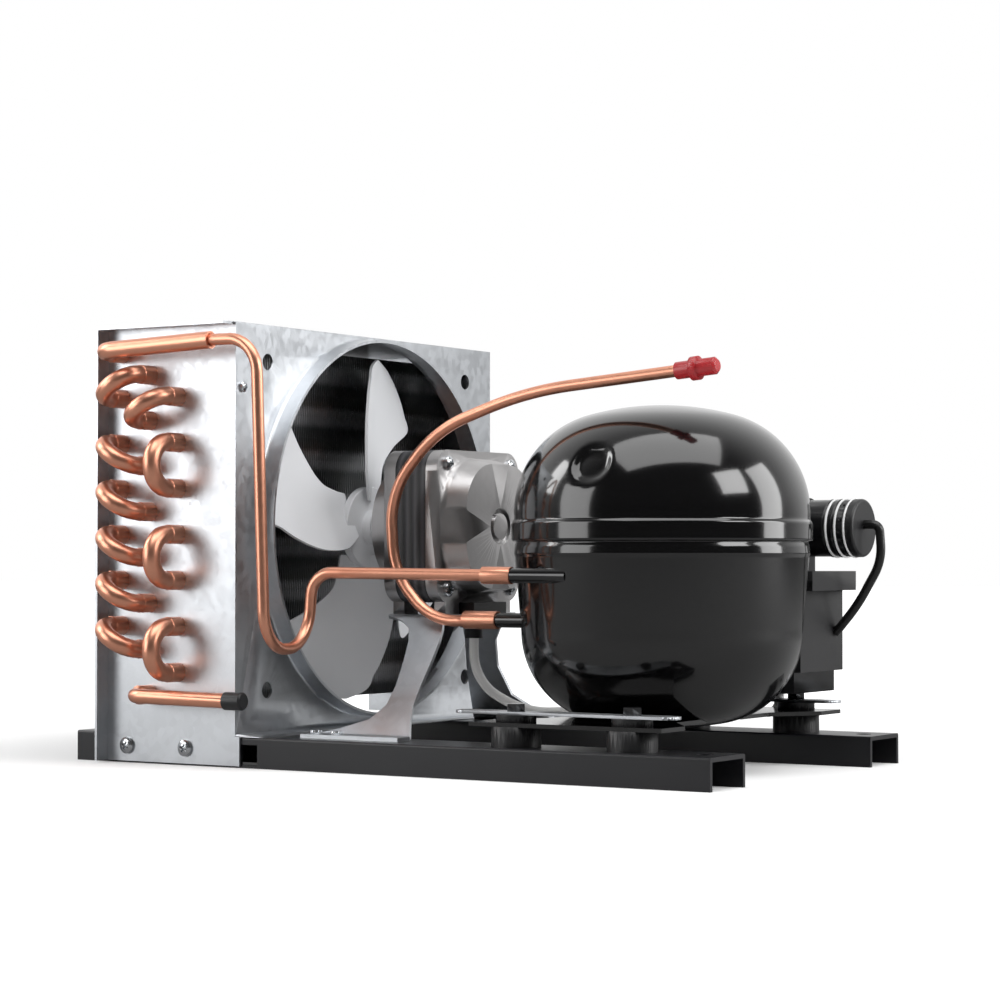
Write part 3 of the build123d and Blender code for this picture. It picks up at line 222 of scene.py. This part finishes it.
plain_finish("rail_black", (0.008, 0.008, 0.010), 0.34, grain=0.0009, depth=0.00003)
plain_finish("black_plastic", (0.008, 0.008, 0.009), 0.42, grain=0.0008)
plain_finish("capacitor_black", (0.005, 0.005, 0.006), 0.2, grain=0.002, depth=0.00001)
plain_finish("rubber", (0.006, 0.006, 0.007), 0.45, grain=0.0012)
plain_finish("black_lead", (0.005, 0.005, 0.005), 0.35)
plain_finish("red_plastic", (0.36, 0.018, 0.022), 0.3, drift=0.1)
plain_finish("blade_paint", (0.70, 0.71, 0.73), 0.42, drift=0.06)
plain_finish("white_sleeve", (0.86, 0.86, 0.85), 0.7, grain=0.0015, depth=0.0001)
plain_finish("ring_white", (0.72, 0.72, 0.72), 0.35)
print("plain finishes", sorted(finishes))

# %% [markdown]
# The compressor is dip-painted gloss black. Its highlights are what shows its shape, so the paint is nearly
# smooth, with the faint waviness of thick paint under a clear coat.

# %% Gloss shell paint
shell = plain_finish("shell_black", (0.002, 0.002, 0.0022), 0.13, grain=0.008, depth=0.00003, coat=0.4)
shell.set(IOR=1.5)
print("shell paint", shell.owner.name)

# %% [markdown]
# Galvanised sheet has large flat crystals in its zinc, which differ a little in tone and gloss. A Voronoi
# pattern's cell colour gives each crystal its own value.

# %% Zinc, steel, cast and rolled metal
def metal_finish(name, colour, roughness, crystal=0.0, contrast=0.08, grain=0.0008, depth=0.00001,
                 scale=(1, 1, 1)):
    """A bare metal: crystals of a size in metres, or a fine drawn or cast grain when that is 0."""
    g = Graph(bpy.data.materials.new(name))
    if crystal:
        cell = g.node("TexVoronoi", {}, {"Vector": g.place(scale), "Scale": 1 / crystal}, output="Color")
        tone = g.node("SeparateColor", {}, {0: cell})
    else:
        tone = g.noise(0.004, scale, 4.0)
    darker = tuple(channel * (1 - contrast) for channel in colour)
    g.set(Base_Color=g.mix(tone, darker, colour), Roughness=roughness * (0.85 + 0.3 * tone))
    g.set(Metallic=1.0, Normal=g.bump(g.noise(grain, scale), depth, 0.5))
    finishes[name] = g
    return g


metal_finish("zinc", (0.58, 0.60, 0.625), 0.36, crystal=0.004, contrast=0.08)
metal_finish("screw_steel", (0.62, 0.64, 0.66), 0.22)
metal_finish("cast_aluminium", (0.50, 0.49, 0.49), 0.38, contrast=0.15, grain=0.0006, depth=0.00006)
metal_finish("copper", (0.86, 0.40, 0.265), 0.36, contrast=0.12, grain=0.0015)
metal_finish("winding", (0.45, 0.18, 0.06), 0.35, grain=0.0005, depth=0.0002)
metal_finish("bronze", (0.45, 0.30, 0.14), 0.4)
metal_finish("iron", (0.25, 0.25, 0.26), 0.45, depth=0.00005)
print("metals", sorted(finishes))

# %% [markdown]
# The motor's core is a stack of half-millimetre sheets, varnished black. A wave along X draws their edges.

# %% Laminations
stack = plain_finish("lamination", (0.018, 0.018, 0.020), 0.4)
sheets = stack.node(
    "TexWave", {"bands_direction": "X"}, {"Vector": stack.place(), "Scale": 60.0, "Distortion": 0.4},
    output="Fac"
)
stack.set(Normal=stack.bump(sheets, 0.0002, 0.8))
stack.set(Base_Color=stack.mix(sheets, (0.010, 0.010, 0.011), (0.045, 0.045, 0.05)))
print("lamination pitch 5 mm waves over", stack.owner.name)

# %% [markdown]
# The fins are bare aluminium sheet. Round each row of tubes the sheet is drawn up and catches the light, so a
# wave along Z with the tubes' pitch of 25.4 mm paints lighter and darker bands into the base colour: painted
# light and shade, not a tone of the metal.

# %% Fin sheet, with painted light and shade bands
fin_sheet = metal_finish("fin_aluminium", (0.50, 0.51, 0.53), 0.42, contrast=0.3)
tube_pitch, low_tube_z = 0.0254, 0.0385
height = fin_sheet.along(fin_sheet.place(), (0.0, 0.0, 1.0))
turn = (height - low_tube_z) * (2 * math.pi / tube_pitch)
# Painted light and shade: a colour wave at the tubes' pitch makes the fins lighter and darker, in place of
# the light the drawn-up sheet catches
painted_band_wave = 0.5 + 0.5 * fin_sheet.node("Math", {"operation": "SINE"}, {0: turn})
speckle = fin_sheet.noise(0.0012, (1, 0.6, 2), 3.0)
painted_light_band = fin_sheet.ramp(painted_band_wave + 0.5 * (speckle - 0.5), 0.35, 0.9)
fin_sheet.set(Base_Color=fin_sheet.mix(painted_light_band, (0.36, 0.37, 0.38), (0.86, 0.87, 0.89)))
print("fin bands every", tube_pitch, "m")

# %% Give every node its finish
slot_of = {part["node"]: part["material_slot"] for part in frame["record"]["subparts"]}
for name, obj in nodes.items():
    obj.data.materials.clear()
    obj.data.materials.append(finishes[slot_of[name]].owner)
nodes["grommet_bolts"].data.materials[0] = finishes["capacitor_black"].owner
print("finished nodes", len(nodes))

# %% [markdown]
# ## Smooth copies of the round parts
# A CAD node comes as loose flat triangles, which a gloss paint would show as facets. A copy with its doubles
# merged can be shaded smooth, with edges kept sharp only where two faces really meet at an angle.

# %% Smooth copies
def smooth_copy(name, angle=32):
    """A copy of a node, welded and shaded smooth below an angle in degrees. It replaces the node."""
    source = nodes[name]
    mesh = source.data.copy()
    work = bmesh.new()
    work.from_mesh(mesh)
    bmesh.ops.remove_doubles(work, verts=work.verts, dist=1e-5)
    work.to_mesh(mesh)
    work.free()
    mesh.shade_smooth()
    mesh.set_sharp_from_angle(angle=math.radians(angle))
    piece = bpy.data.objects.new(name + "_skin", mesh)
    bpy.context.scene.collection.objects.link(piece)
    even = piece.modifiers.new("even_flats", "WEIGHTED_NORMAL")
    even.keep_sharp = True
    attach(piece, source["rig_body"])
    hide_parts(name)
    return piece


round_nodes = [
    "discharge_pipe", "suction_pipe", "inlet_tube", "outlet_tube", "outlet_cap",
    "near_return_bends", "far_return_bends", "condenser_tubes", "suction_plug",
    "discharge_stub", "suction_stub",
    "shroud", "motor_front_frame", "motor_rear_cover", "motor_shaft", "grommets", "start_capacitor",
    "capacitor_cap", "capacitor_strap", "capacitor_lead", "motor_lead", "bracket_rivets",
    "stator_core", "relay_box_base", "relay_box_cover",
    "cable_gland", "grommet_bolts", "hold_down_straps",
]
skins = {name: smooth_copy(name) for name in round_nodes}
print("smooth copies", len(skins), "triangles", sum(len(s.data.polygons) for s in skins.values()))

# %% [markdown]
# ## Fins
# The coil has a fin about every 2.2 mm. Each is a thin sheet, pressed into shallow waves from row to row of
# the tubes, which stiffen it. One fin is a rectangle of four corners carried up in steps, and every step
# moves it a little to one side and back. All fins are one array: fin by level by corner.

# %% Meshes from arrays
def mesh_piece(name, points, faces, slot, smooth=False, body="unit"):
    """A new piece on a body, from arrays of points in metres and of faces."""
    mesh = bpy.data.meshes.new(name)
    mesh.from_pydata(points.reshape(-1, 3).tolist(), [], [list(face) for face in faces])
    mesh.update()
    if smooth:
        mesh.shade_smooth()
        mesh.set_sharp_from_angle(angle=math.radians(40))
    piece = bpy.data.objects.new(name, mesh)
    mesh.materials.append(finishes[slot].owner)
    bpy.context.scene.collection.objects.link(piece)
    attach(piece, body)
    return piece


def face_outwards(mesh, weld=None):
    """Turns every face of a mesh outwards, after a weld of the points closer than a distance in metres."""
    work = bmesh.new()
    work.from_mesh(mesh)
    if weld:
        bmesh.ops.remove_doubles(work, verts=work.verts, dist=weld)
    bmesh.ops.recalc_face_normals(work, faces=work.faces)
    work.to_mesh(mesh)
    work.free()


def grid_faces(rows, columns, closed=True):
    """Quads between the points of a grid of rows and columns, whose columns may close on themselves."""
    last_column = columns if closed else columns - 1
    row, column = np.meshgrid(np.arange(rows - 1), np.arange(last_column), indexing="ij")
    after = (column + 1) % columns
    quads = np.stack([row * columns + column, row * columns + after,
                      (row + 1) * columns + after, (row + 1) * columns + column], -1)
    return quads.reshape(-1, 4)


# %% Dense fins
fin_low, fin_high = (np.array(corner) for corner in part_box("fin_pack"))
fin_pitch, fin_wall, wave_height, levels = 0.0022, 0.00025, 0.0007, 17
fin_count = int((fin_high[1] - fin_low[1] - 2 * wave_height) / fin_pitch)
first_y = fin_low[1] + wave_height + fin_wall
fin_room = fin_high[1] - fin_low[1] - 2 * wave_height - 2 * fin_wall
fin_y = first_y + (np.arange(fin_count) + 0.5) * fin_room / fin_count
level_z = np.linspace(fin_low[2], fin_high[2], levels)
sway = wave_height * np.where(np.arange(levels) % 2, 1.0, -1.0)
corner_x = np.array([fin_low[0], fin_high[0], fin_high[0], fin_low[0]])
corner_y = np.array([-0.5, -0.5, 0.5, 0.5]) * fin_wall
fin_points = np.empty((fin_count, levels, 4, 3))
fin_points[..., 0] = corner_x
fin_points[..., 1] = fin_y[:, None, None] + sway[:, None] + corner_y
fin_points[..., 2] = level_z[:, None]
fin_ends = [(3, 2, 1, 0), tuple(np.arange(4) + 4 * (levels - 1))]
one_fin = [tuple(quad) for quad in grid_faces(levels, 4)] + fin_ends
fin_faces = (np.array(one_fin) + 4 * levels * np.arange(fin_count)[:, None, None]).reshape(-1, 4)
fins = mesh_piece("dense_fins", fin_points, fin_faces, "fin_aluminium")
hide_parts("fin_pack")
print("fins", fin_count, "faces each", len(one_fin))

# %% [markdown]
# ## Compressor shell
# The shell is two deep-drawn halves. The upper one slips over the lower one as a low flange with rolled
# edges, and a weld runs round under it. Seen from the side that is one profile, so the shell is a surface
# of revolution: the profile's radius and height at each of its points, turned about the axis. The flange's
# edges are rounded by running a short average along the profile before it is turned.

# %% Shell profile
def arc(centre, radius, start, end, count):
    """Points on a circle from one angle to another, in radians from the outward direction."""
    angle = np.linspace(start, end, count)
    return np.stack([centre[0] + radius * np.cos(angle), centre[1] + radius * np.sin(angle)], 1)


def dished(radius, apex, corner_r, crown_r, way, count):
    """A dished end from its side to its apex: a corner arc that runs into a flatter crown arc."""
    rise = math.sqrt((crown_r - corner_r) ** 2 - (radius - corner_r) ** 2)
    crown = (0.0, apex - way * crown_r)
    corner = (radius - corner_r, crown[1] + way * rise)
    join = math.atan2(rise, radius - corner_r)
    side = arc(corner, corner_r, 0.0, way * join, count)
    return np.concatenate([side, arc(crown, crown_r, way * join, way * math.pi / 2, count)[1:]])


upper_low, upper_high = (np.array(corner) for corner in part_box("shell_upper"))
lower_low = np.array(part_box("shell_lower")[0])
shell_x, shell_y = (upper_low[:2] + upper_high[:2]) / 2
flange_r = (upper_high[0] - upper_low[0]) / 2
dome_r, bowl_r = flange_r - 0.0013, flange_r - 0.0053
seam_low, flange_low, flange_high = 0.1155, 0.1236, 0.1344
dome = dished(dome_r, upper_high[2], 0.055, 0.150, 1, 40)
bowl = dished(bowl_r, lower_low[2], 0.050, 0.200, -1, 40)
side = np.array([
    (dome_r, flange_high + 0.0004), (flange_r, flange_high - 0.0012), (flange_r, flange_low),
    (dome_r - 0.0012, flange_low - 0.0006), (dome_r - 0.0004, flange_low - 0.0030),
    (dome_r, seam_low + 0.001),
    (dome_r - 0.0007, seam_low - 0.0005),
])
corners_of = np.concatenate([dome[::-1], side, bowl])
steps = np.linalg.norm(np.diff(corners_of, axis=0), axis=1)
length = np.concatenate([[0.0], np.cumsum(steps)])
fine = np.linspace(0, length[-1], 4000)
profile = np.stack([np.interp(fine, length, corners_of[:, k]) for k in (0, 1)], 1)
reach = 13
kernel = np.hanning(2 * reach + 3)[1:-1]
padded = np.concatenate([np.repeat(profile[:1], reach, 0), profile, np.repeat(profile[-1:], reach, 0)])
smooth = np.stack([np.convolve(padded[:, k], kernel / kernel.sum(), "valid") for k in (0, 1)], 1)
near_seam = (smooth[:, 1] > seam_low - 0.004) & (smooth[:, 1] < flange_high + 0.004) & (smooth[:, 0] > bowl_r)
keep = np.unique(np.concatenate([np.flatnonzero(near_seam)[::8], np.arange(0, 4000, 40), [3999]]))
profile = smooth[keep]
print("shell profile points", len(profile), "length", round(float(length[-1]), 3), "m")

# %% [markdown]
# On the pipe side of the dome a shallow oval pad is pressed in. It is the same surface, pulled inwards: each
# point's distance from the pad's centre, over the pad's half width and half height, goes through a smooth
# step.

# %% Shell skin
turns = 380
angle = np.linspace(0, 2 * math.pi, turns, endpoint=False)
radius, height = profile[:, 0][:, None], profile[:, 1][:, None]
pad_angle, pad_height, pad_half_width, pad_half_height, pad_depth = -1.588, 0.1635, 0.0105, 0.0085, 0.0022
around = (np.angle(np.exp(1j * (angle - pad_angle))) * radius) / pad_half_width
up = (height - pad_height) / pad_half_height
inside = np.clip((1.25 - np.sqrt(around ** 2 + up ** 2)) / 0.5, 0, 1)
press = pad_depth * inside ** 2 * (3 - 2 * inside)
shell_points = np.empty((len(profile), turns, 3))
shell_points[..., 0] = shell_x + (radius - press) * np.cos(angle)
shell_points[..., 1] = shell_y + (radius - press) * np.sin(angle)
shell_points[..., 2] = height - 0.6 * press
shell_faces = grid_faces(len(profile), turns)[:, ::-1]
shell_skin = mesh_piece("shell_skin", shell_points, shell_faces, "shell_black")
shell_skin.data.shade_smooth()
face_outwards(shell_skin.data, weld=1e-6)
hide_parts("shell_upper", "shell_lower")
print("shell skin faces", len(shell_skin.data.polygons))

# %% [markdown]
# ## Fan
# The fan is pressed from thin sheet: four swept blades on a small hub. One blade is a grid. Going out along
# the radius, a smooth curve through a few chosen places gives its leading edge and another its trailing
# edge, and the points between them lie on a shallow arch across the blade. A second layer one sheet
# thickness behind closes it. The other blades are the same array, turned about the shaft. The hub is its
# side view carried round the shaft.

# %% Smooth curves through points
def through_points(xs, ys, x):
    """A cubic through points. Each piece starts and ends with the mean slope of its neighbours."""
    xs, ys = np.array(xs, float), np.array(ys, float)
    slope = np.gradient(ys, xs)
    k = np.clip(np.searchsorted(xs, x) - 1, 0, len(xs) - 2)
    step = xs[k + 1] - xs[k]
    f = (x - xs[k]) / step
    ends = ys[k] * (1 + 2 * f) * (1 - f) ** 2 + ys[k + 1] * f ** 2 * (3 - 2 * f)
    return ends + step * (slope[k] * f * (1 - f) ** 2 - slope[k + 1] * f ** 2 * (1 - f))


def closed_strip(front, back):
    """Points of a strip with two faces: across the front, then back across the rear."""
    return np.concatenate([front, back[:, ::-1]], 1)


def strip_faces(rows, columns):
    """Faces of a closed strip: quads round each step, and one face on each end."""
    ends = [tuple(range(columns))[::-1], tuple(range((rows - 1) * columns, rows * columns))]
    return [tuple(quad) for quad in grid_faces(rows, columns)] + ends


# %% Fan skin
fan_low, fan_high = (np.array(corner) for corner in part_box("fan_blade"))
fan_z = (fan_low[2] + fan_high[2]) / 2
fan_x = fan_high[0] - 0.0040
blades, blade_rows, blade_columns, hub_spokes = 4, 60, 15, 72
radii = 0.016 + 0.0837 * np.sin(np.linspace(0, math.pi / 2, blade_rows))
lead = through_points([.016, .031, .044, .058, .071, .086, .097, .0998],
                      [.005, .0125, .014, .013, .009, .001, -.009, -.018], radii)
trail = through_points([.016, .026, .038, .050, .0585, .069, .080, .090, .097, .0998],
                       [-.022, -.024, -.030, -.050, -.069, -.065, -.057, -.045, -.030, -.019], radii)
pitch, sag, sheet = math.radians(18), 0.004, 0.0016
reach, tail = 0.016, -0.074
chord = lead[:, None] + (trail - lead)[:, None] * np.linspace(0, 1, blade_columns)
arch = -sag * (1 - ((chord - (reach + tail) / 2) / ((reach - tail) / 2)) ** 2)
along = np.array([math.sin(pitch), -math.cos(pitch), 0])
through = np.array([math.cos(pitch), math.sin(pitch), 0])
front = chord[..., None] * along + arch[..., None] * through + radii[:, None, None] * np.array([0, 0, 1.0])
blade = closed_strip(front, front - sheet * through)
fan_points, fan_faces, start = [], [], 0
for turn in np.arange(blades) * 2 * math.pi / blades:
    c, q = math.cos(turn), math.sin(turn)
    turned = blade @ np.array([[1, 0, 0], [0, c, q], [0, -q, c]])
    fan_points.append((turned + (fan_x, 0, fan_z)).reshape(-1, 3))
    blade_faces = strip_faces(blade_rows, 2 * blade_columns)
    fan_faces += [tuple(index + start for index in face) for face in blade_faces]
    start += blade_rows * 2 * blade_columns
hub_profile = np.array([
    (-.012, .0045), (-.012, .0096), (-.0116, .010), (-.009, .0103), (-.0082, .012), (-.008, .0235),
    (-.0075, .024), (-.0035, .024), (-.003, .0235), (-.003, .0125), (-.002, .0105), (.0026, .010),
    (.003, .0096), (.003, .0045),
])
spin = np.linspace(0, 2 * math.pi, hub_spokes, endpoint=False)
hub = np.empty((len(hub_profile), hub_spokes, 3))
hub[..., 0] = fan_x + hub_profile[:, :1]
hub[..., 1], hub[..., 2] = hub_profile[:, 1:] * np.cos(spin), fan_z + hub_profile[:, 1:] * np.sin(spin)
fan_points.append(np.concatenate([hub, hub[:1]]).reshape(-1, 3))
hub_quads = grid_faces(len(hub_profile) + 1, hub_spokes)
fan_faces += [tuple(index + start for index in quad) for quad in hub_quads]
fan_skin = mesh_piece("fan_skin", np.concatenate(fan_points), fan_faces, "blade_paint", body="fan")
face_outwards(fan_skin.data, weld=1e-6)
fan_skin.data.shade_smooth()
fan_skin.data.set_sharp_from_angle(angle=math.radians(35))
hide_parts("fan_blade")
print("fan skin faces", len(fan_skin.data.polygons))

# %% [markdown]
# ## Motor stand
# The stand is one bent strip of galvanised sheet: a foot on each rail, two sloping legs, and a flat top for
# the motor. The solid of this node lies 31 mm too far along the rails, so this piece takes its place. It is a
# strip as well. Going along it, a height and the places of its two edges are interpolated from the cut-out
# plan, and the sheet's lower face lies one thickness below the upper one.

# %% Motor stand
stand_x, wall = -0.031, 0.002
plan_y = [-.1130, -.1020, -.0990, -.0950, -.0890, -.0811, -.0705, -.0625, -.0571, -.0540, -.0512, -.0200,
          .0200, .0512, .0540, .0590, .0660, .0740, .0780, .0812, .0920]
left = [-.0250, -.0240, -.0080, .0080, .0149, .0157, .0137, .0114, .0078, .0010, -.0100, -.0280,
        -.0280, -.0280, -.0282, -.0295, -.0330, -.0355, -.0365, -.0375, -.0380]
right = [.0390, .0390, .0370, .0345, .0325, .0319, .0320, .0316, .0302, .0285, .0280, .0280,
         .0280, .0100, .0000, -.0080, -.0110, -.0060, .0080, .0230, .0250]
fold_y = [-.1134, -.1014, -.0515, .0515, .0806, .0926]
fold_z = [.0188, .0188, .0827, .0827, .0188, .0188]
steps, stand_columns, blend = 501, 7, 7
mid = np.interp(np.linspace(0, 5, steps), range(6), fold_y)
high = np.interp(np.linspace(0, 5, steps), range(6), fold_z)
soften, rim = np.ones(blend) / blend, blend // 2
mid[rim:-rim], high[rim:-rim] = np.convolve(mid, soften, "valid"), np.convolve(high, soften, "valid")
slope_y, slope_z = np.gradient(mid), np.gradient(high)
size = np.hypot(slope_y, slope_z)
under = np.stack([np.zeros(steps), slope_z / size, -slope_y / size], 1) * wall
across = np.linspace(0, 1, stand_columns)
edge_l, edge_r = np.interp(mid, plan_y, left), np.interp(mid, plan_y, right)
top = np.empty((steps, stand_columns, 3))
top[..., 0] = stand_x + edge_l[:, None] + (edge_r - edge_l)[:, None] * across
top[..., 1], top[..., 2] = mid[:, None], high[:, None]
stand_faces = strip_faces(steps, 2 * stand_columns)
stand = mesh_piece("stand_sheet", closed_strip(top, top + under[:, None]), stand_faces, "zinc")
face_outwards(stand.data)
stand.data.shade_smooth()
stand.data.set_sharp_from_angle(angle=math.radians(40))
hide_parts("motor_bracket")
print("stand from", round(float(mid[0]), 4), "to", round(float(mid[-1]), 4))

# %% [markdown]
# ## Screw heads
# The screws have low round heads with a cross recess. A head is a polar grid: rings from the middle out,
# and the height of each ring follows a shallow dome. Where a point lies in one of the two slots of the
# cross, it is pushed down.

# %% Screw heads
def screw_heads(name, slot, spots, way, radius, thick):
    """Heads at spots on a face whose outward direction is `way`. Height is a dome less a cross."""
    spokes, rings = 48, np.array([0.0, 0.15, 0.3, 0.42, 0.46, 0.5, 0.54, 0.7, 0.85, 0.95, 1.0, 1.0])
    theta = np.linspace(0, 2 * math.pi, spokes, endpoint=False) + 0.4
    u, v = rings[:, None] * np.cos(theta), rings[:, None] * np.sin(theta)
    tall = thick * np.sqrt(np.clip(1 - 0.75 * rings ** 2, 0, 1))[:, None] * np.ones(spokes)
    near = np.abs(np.sin(2 * (theta - 0.4)))[None] * rings[:, None]
    tall = tall - 0.6 * thick * (near < 0.2) * (rings[:, None] < 0.52)
    tall[-1] = 0.0
    way = np.array(way, float)
    side = np.cross(way, (0, 0, 1.0))
    points, faces = [], []
    for spot in spots:
        offset = radius * (u[..., None] * side + v[..., None] * np.array([0, 0, 1.0])) + tall[..., None] * way
        faces.append(grid_faces(len(rings), spokes) + len(points) * len(rings) * spokes)
        points.append(np.array(spot) + offset)
    piece = mesh_piece(name + "_heads", np.concatenate(points), np.concatenate(faces), slot)
    face_outwards(piece.data, weld=1e-6)
    piece.data.shade_smooth()
    piece.data.set_sharp_from_angle(angle=math.radians(30))
    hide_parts(name)
    print(name, "heads", len(spots))


foot_low, foot_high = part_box("end_plate_screws")
head = 0.0046
screw_heads("end_plate_screws", "screw_steel",
            [(x, foot_low[1] + 0.0026, (foot_low[2] + foot_high[2]) / 2)
             for x in (foot_low[0] + head, foot_high[0] - head)],
            (0, -1, 0), head, 0.0026)
face_low, face_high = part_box("shroud_screws")
head = 0.0030
screw_heads("shroud_screws", "screw_steel",
            [(face_high[0] - 0.0026, y, (face_low[2] + face_high[2]) / 2)
             for y in (face_low[1] + head, face_high[1] - head)],
            (1, 0, 0), head, 0.0026)
cover_low, cover_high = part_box("motor_screws")
head = 0.0040
screw_heads("motor_screws", "screw_steel",
            [(cover_high[0] - 0.0036, y, z) for y in (cover_low[1] + head, cover_high[1] - head)
             for z in (cover_low[2] + head, cover_high[2] - head)],
            (1, 0, 0), head, 0.0036)

# %% [markdown]
# ## Capacitor rings
# Three pale rings run round the end of the start capacitor. Each is a torus: a small circle carried round a
# large one, whose centre lies on the capacitor's axis.

# %% Capacitor rings
cap_low, cap_high = (np.array(corner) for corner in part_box("capacitor_cap"))
axis_y, axis_z = (cap_low[1] + cap_high[1]) / 2, (cap_low[2] + cap_high[2]) / 2
ring_r, wire_r = (cap_high[1] - cap_low[1]) / 2 - 0.0002, 0.0007
ring_steps, wire_steps, ring_backs = 96, 12, (0.0165, 0.0110, 0.0055)
big = np.linspace(0, 2 * math.pi, ring_steps, endpoint=False)
small = np.linspace(0, 2 * math.pi, wire_steps, endpoint=False)
rings = []
for back in ring_backs:
    out = ring_r + wire_r * np.cos(small)[:, None]
    x = cap_high[0] - back + wire_r * np.sin(small)[:, None] * np.ones(ring_steps)
    rings.append(np.stack([x, axis_y + out * np.cos(big), axis_z + out * np.sin(big)], -1))
here, following = np.arange(ring_steps), (np.arange(ring_steps) + 1) % ring_steps
last_row = (wire_steps - 1) * ring_steps
closing = np.stack([last_row + here, last_row + following, following, here], -1)
one_ring = np.concatenate([grid_faces(wire_steps, ring_steps), closing])
ring_starts = wire_steps * ring_steps * np.arange(len(ring_backs))
ring_faces = (one_ring + ring_starts[:, None, None]).reshape(-1, 4)
band_rings = mesh_piece("capacitor_rings", np.stack(rings), ring_faces, "ring_white", smooth=True)
print("capacitor rings at", round(float(axis_y), 4), round(float(axis_z), 4))

# %% [markdown]
# ## Floor, world and lamps
# The unit stands on a white studio floor. The floor is a plain pale sheet that takes the shadow and turns
# white away from the unit. Reflections see it darker than it is, which keeps the foot of the shell black.

# %% Floor
floor_mesh = bpy.data.meshes.new("floor")
floor_mesh.from_pydata([(-9, -9, 0), (9, -9, 0), (9, 9, 0), (-9, 9, 0)], [], [(0, 1, 2, 3)])
floor = bpy.data.objects.new("floor", floor_mesh)
bpy.context.scene.collection.objects.link(floor)
ground = Graph(bpy.data.materials.new("floor_white"))
seen = ground.node("LightPath", output="Is Camera Ray")
away = ground.node("VectorMath", {"operation": "LENGTH"}, {0: ground.place()}, output="Value")
glow = ground.ramp(away, 0.25, 0.85, 0.06, 1.0)
mirrored = ground.node("LightPath", output="Is Glossy Ray")
ground.set(Base_Color=ground.mix(mirrored, (0.86, 0.86, 0.86), (0.30, 0.30, 0.30)))
ground.set(Roughness=0.9, Specular_IOR_Level=0.1)
ground.set(Emission_Color=ground.mix(seen * glow, (0.0, 0.0, 0.0), (1.0, 1.0, 1.0)), Emission_Strength=1.0)
floor_mesh.materials.append(ground.owner)
print("floor ready")

# %% [markdown]
# The world is plain white to the eye. Gloss paint and bare metal show whatever is round them, so in
# reflections the world is white only behind the unit, where the white backdrop is, and falls off towards
# the dark side of the studio, where one would stand. That keeps the black shell black and gives the metal
# its shading.

# %% World
world = bpy.data.worlds.new("studio")
bpy.context.scene.world = world
air = Graph(world, "Background")
way = air.node("TexCoord", output="Generated")
to_back = (-0.535, 0.845, 0.0)
mirror = air.ramp(air.along(way, to_back), -0.35, 0.75, 0.06, 1.0)
mirror = mirror * air.ramp(air.along(way, (0.0, 0.0, 1.0)), -0.15, 0.30, 0.55, 1.0)
glossy = air.node("LightPath", output="Is Glossy Ray")
eye = air.node("Math", {"operation": "MAXIMUM"}, {
    0: air.node("LightPath", output="Is Camera Ray"), 1: air.node("LightPath", output="Is Transmission Ray")})
soft_fill = 0.34
air.set(Color=(1.0, 1.0, 1.0, 1.0), Strength=eye + (1 - eye) * (glossy * mirror + (1 - glossy) * soft_fill))
print("world fill", soft_fill)


# %% Lamps
def lamp(name, place, aim, size, power):
    """A soft box of a size in metres at a place, turned to aim at a point."""
    data = bpy.data.lights.new(name, "AREA")
    data.shape = "RECTANGLE"
    data.size, data.size_y = size
    data.energy = power
    obj = bpy.data.objects.new(name, data)
    obj.location = place
    obj.rotation_euler = (Vector(aim) - Vector(place)).to_track_quat("-Z", "Y").to_euler()
    bpy.context.scene.collection.objects.link(obj)
    return obj


middle = (0.0, 0.0, 0.12)
lamp("top_box", (0.30, -0.30, 1.30), middle, (1.5, 0.9), 14)
lamp("right_box", (1.15, 0.60, 0.50), (0.1, 0.0, 0.12), (0.5, 0.9), 8)
lamp("left_box", (-1.05, -0.45, 0.75), (0.1, 0.0, 0.15), (0.3, 0.6), 4)
lamp("plate_box", (-0.95, -1.25, 0.45), (-0.1, -0.1, 0.12), (0.8, 0.8), 7)
lamp("fan_box", (1.25, -0.05, 0.75), (-0.08, 0.0, 0.12), (0.5, 0.5), 6)
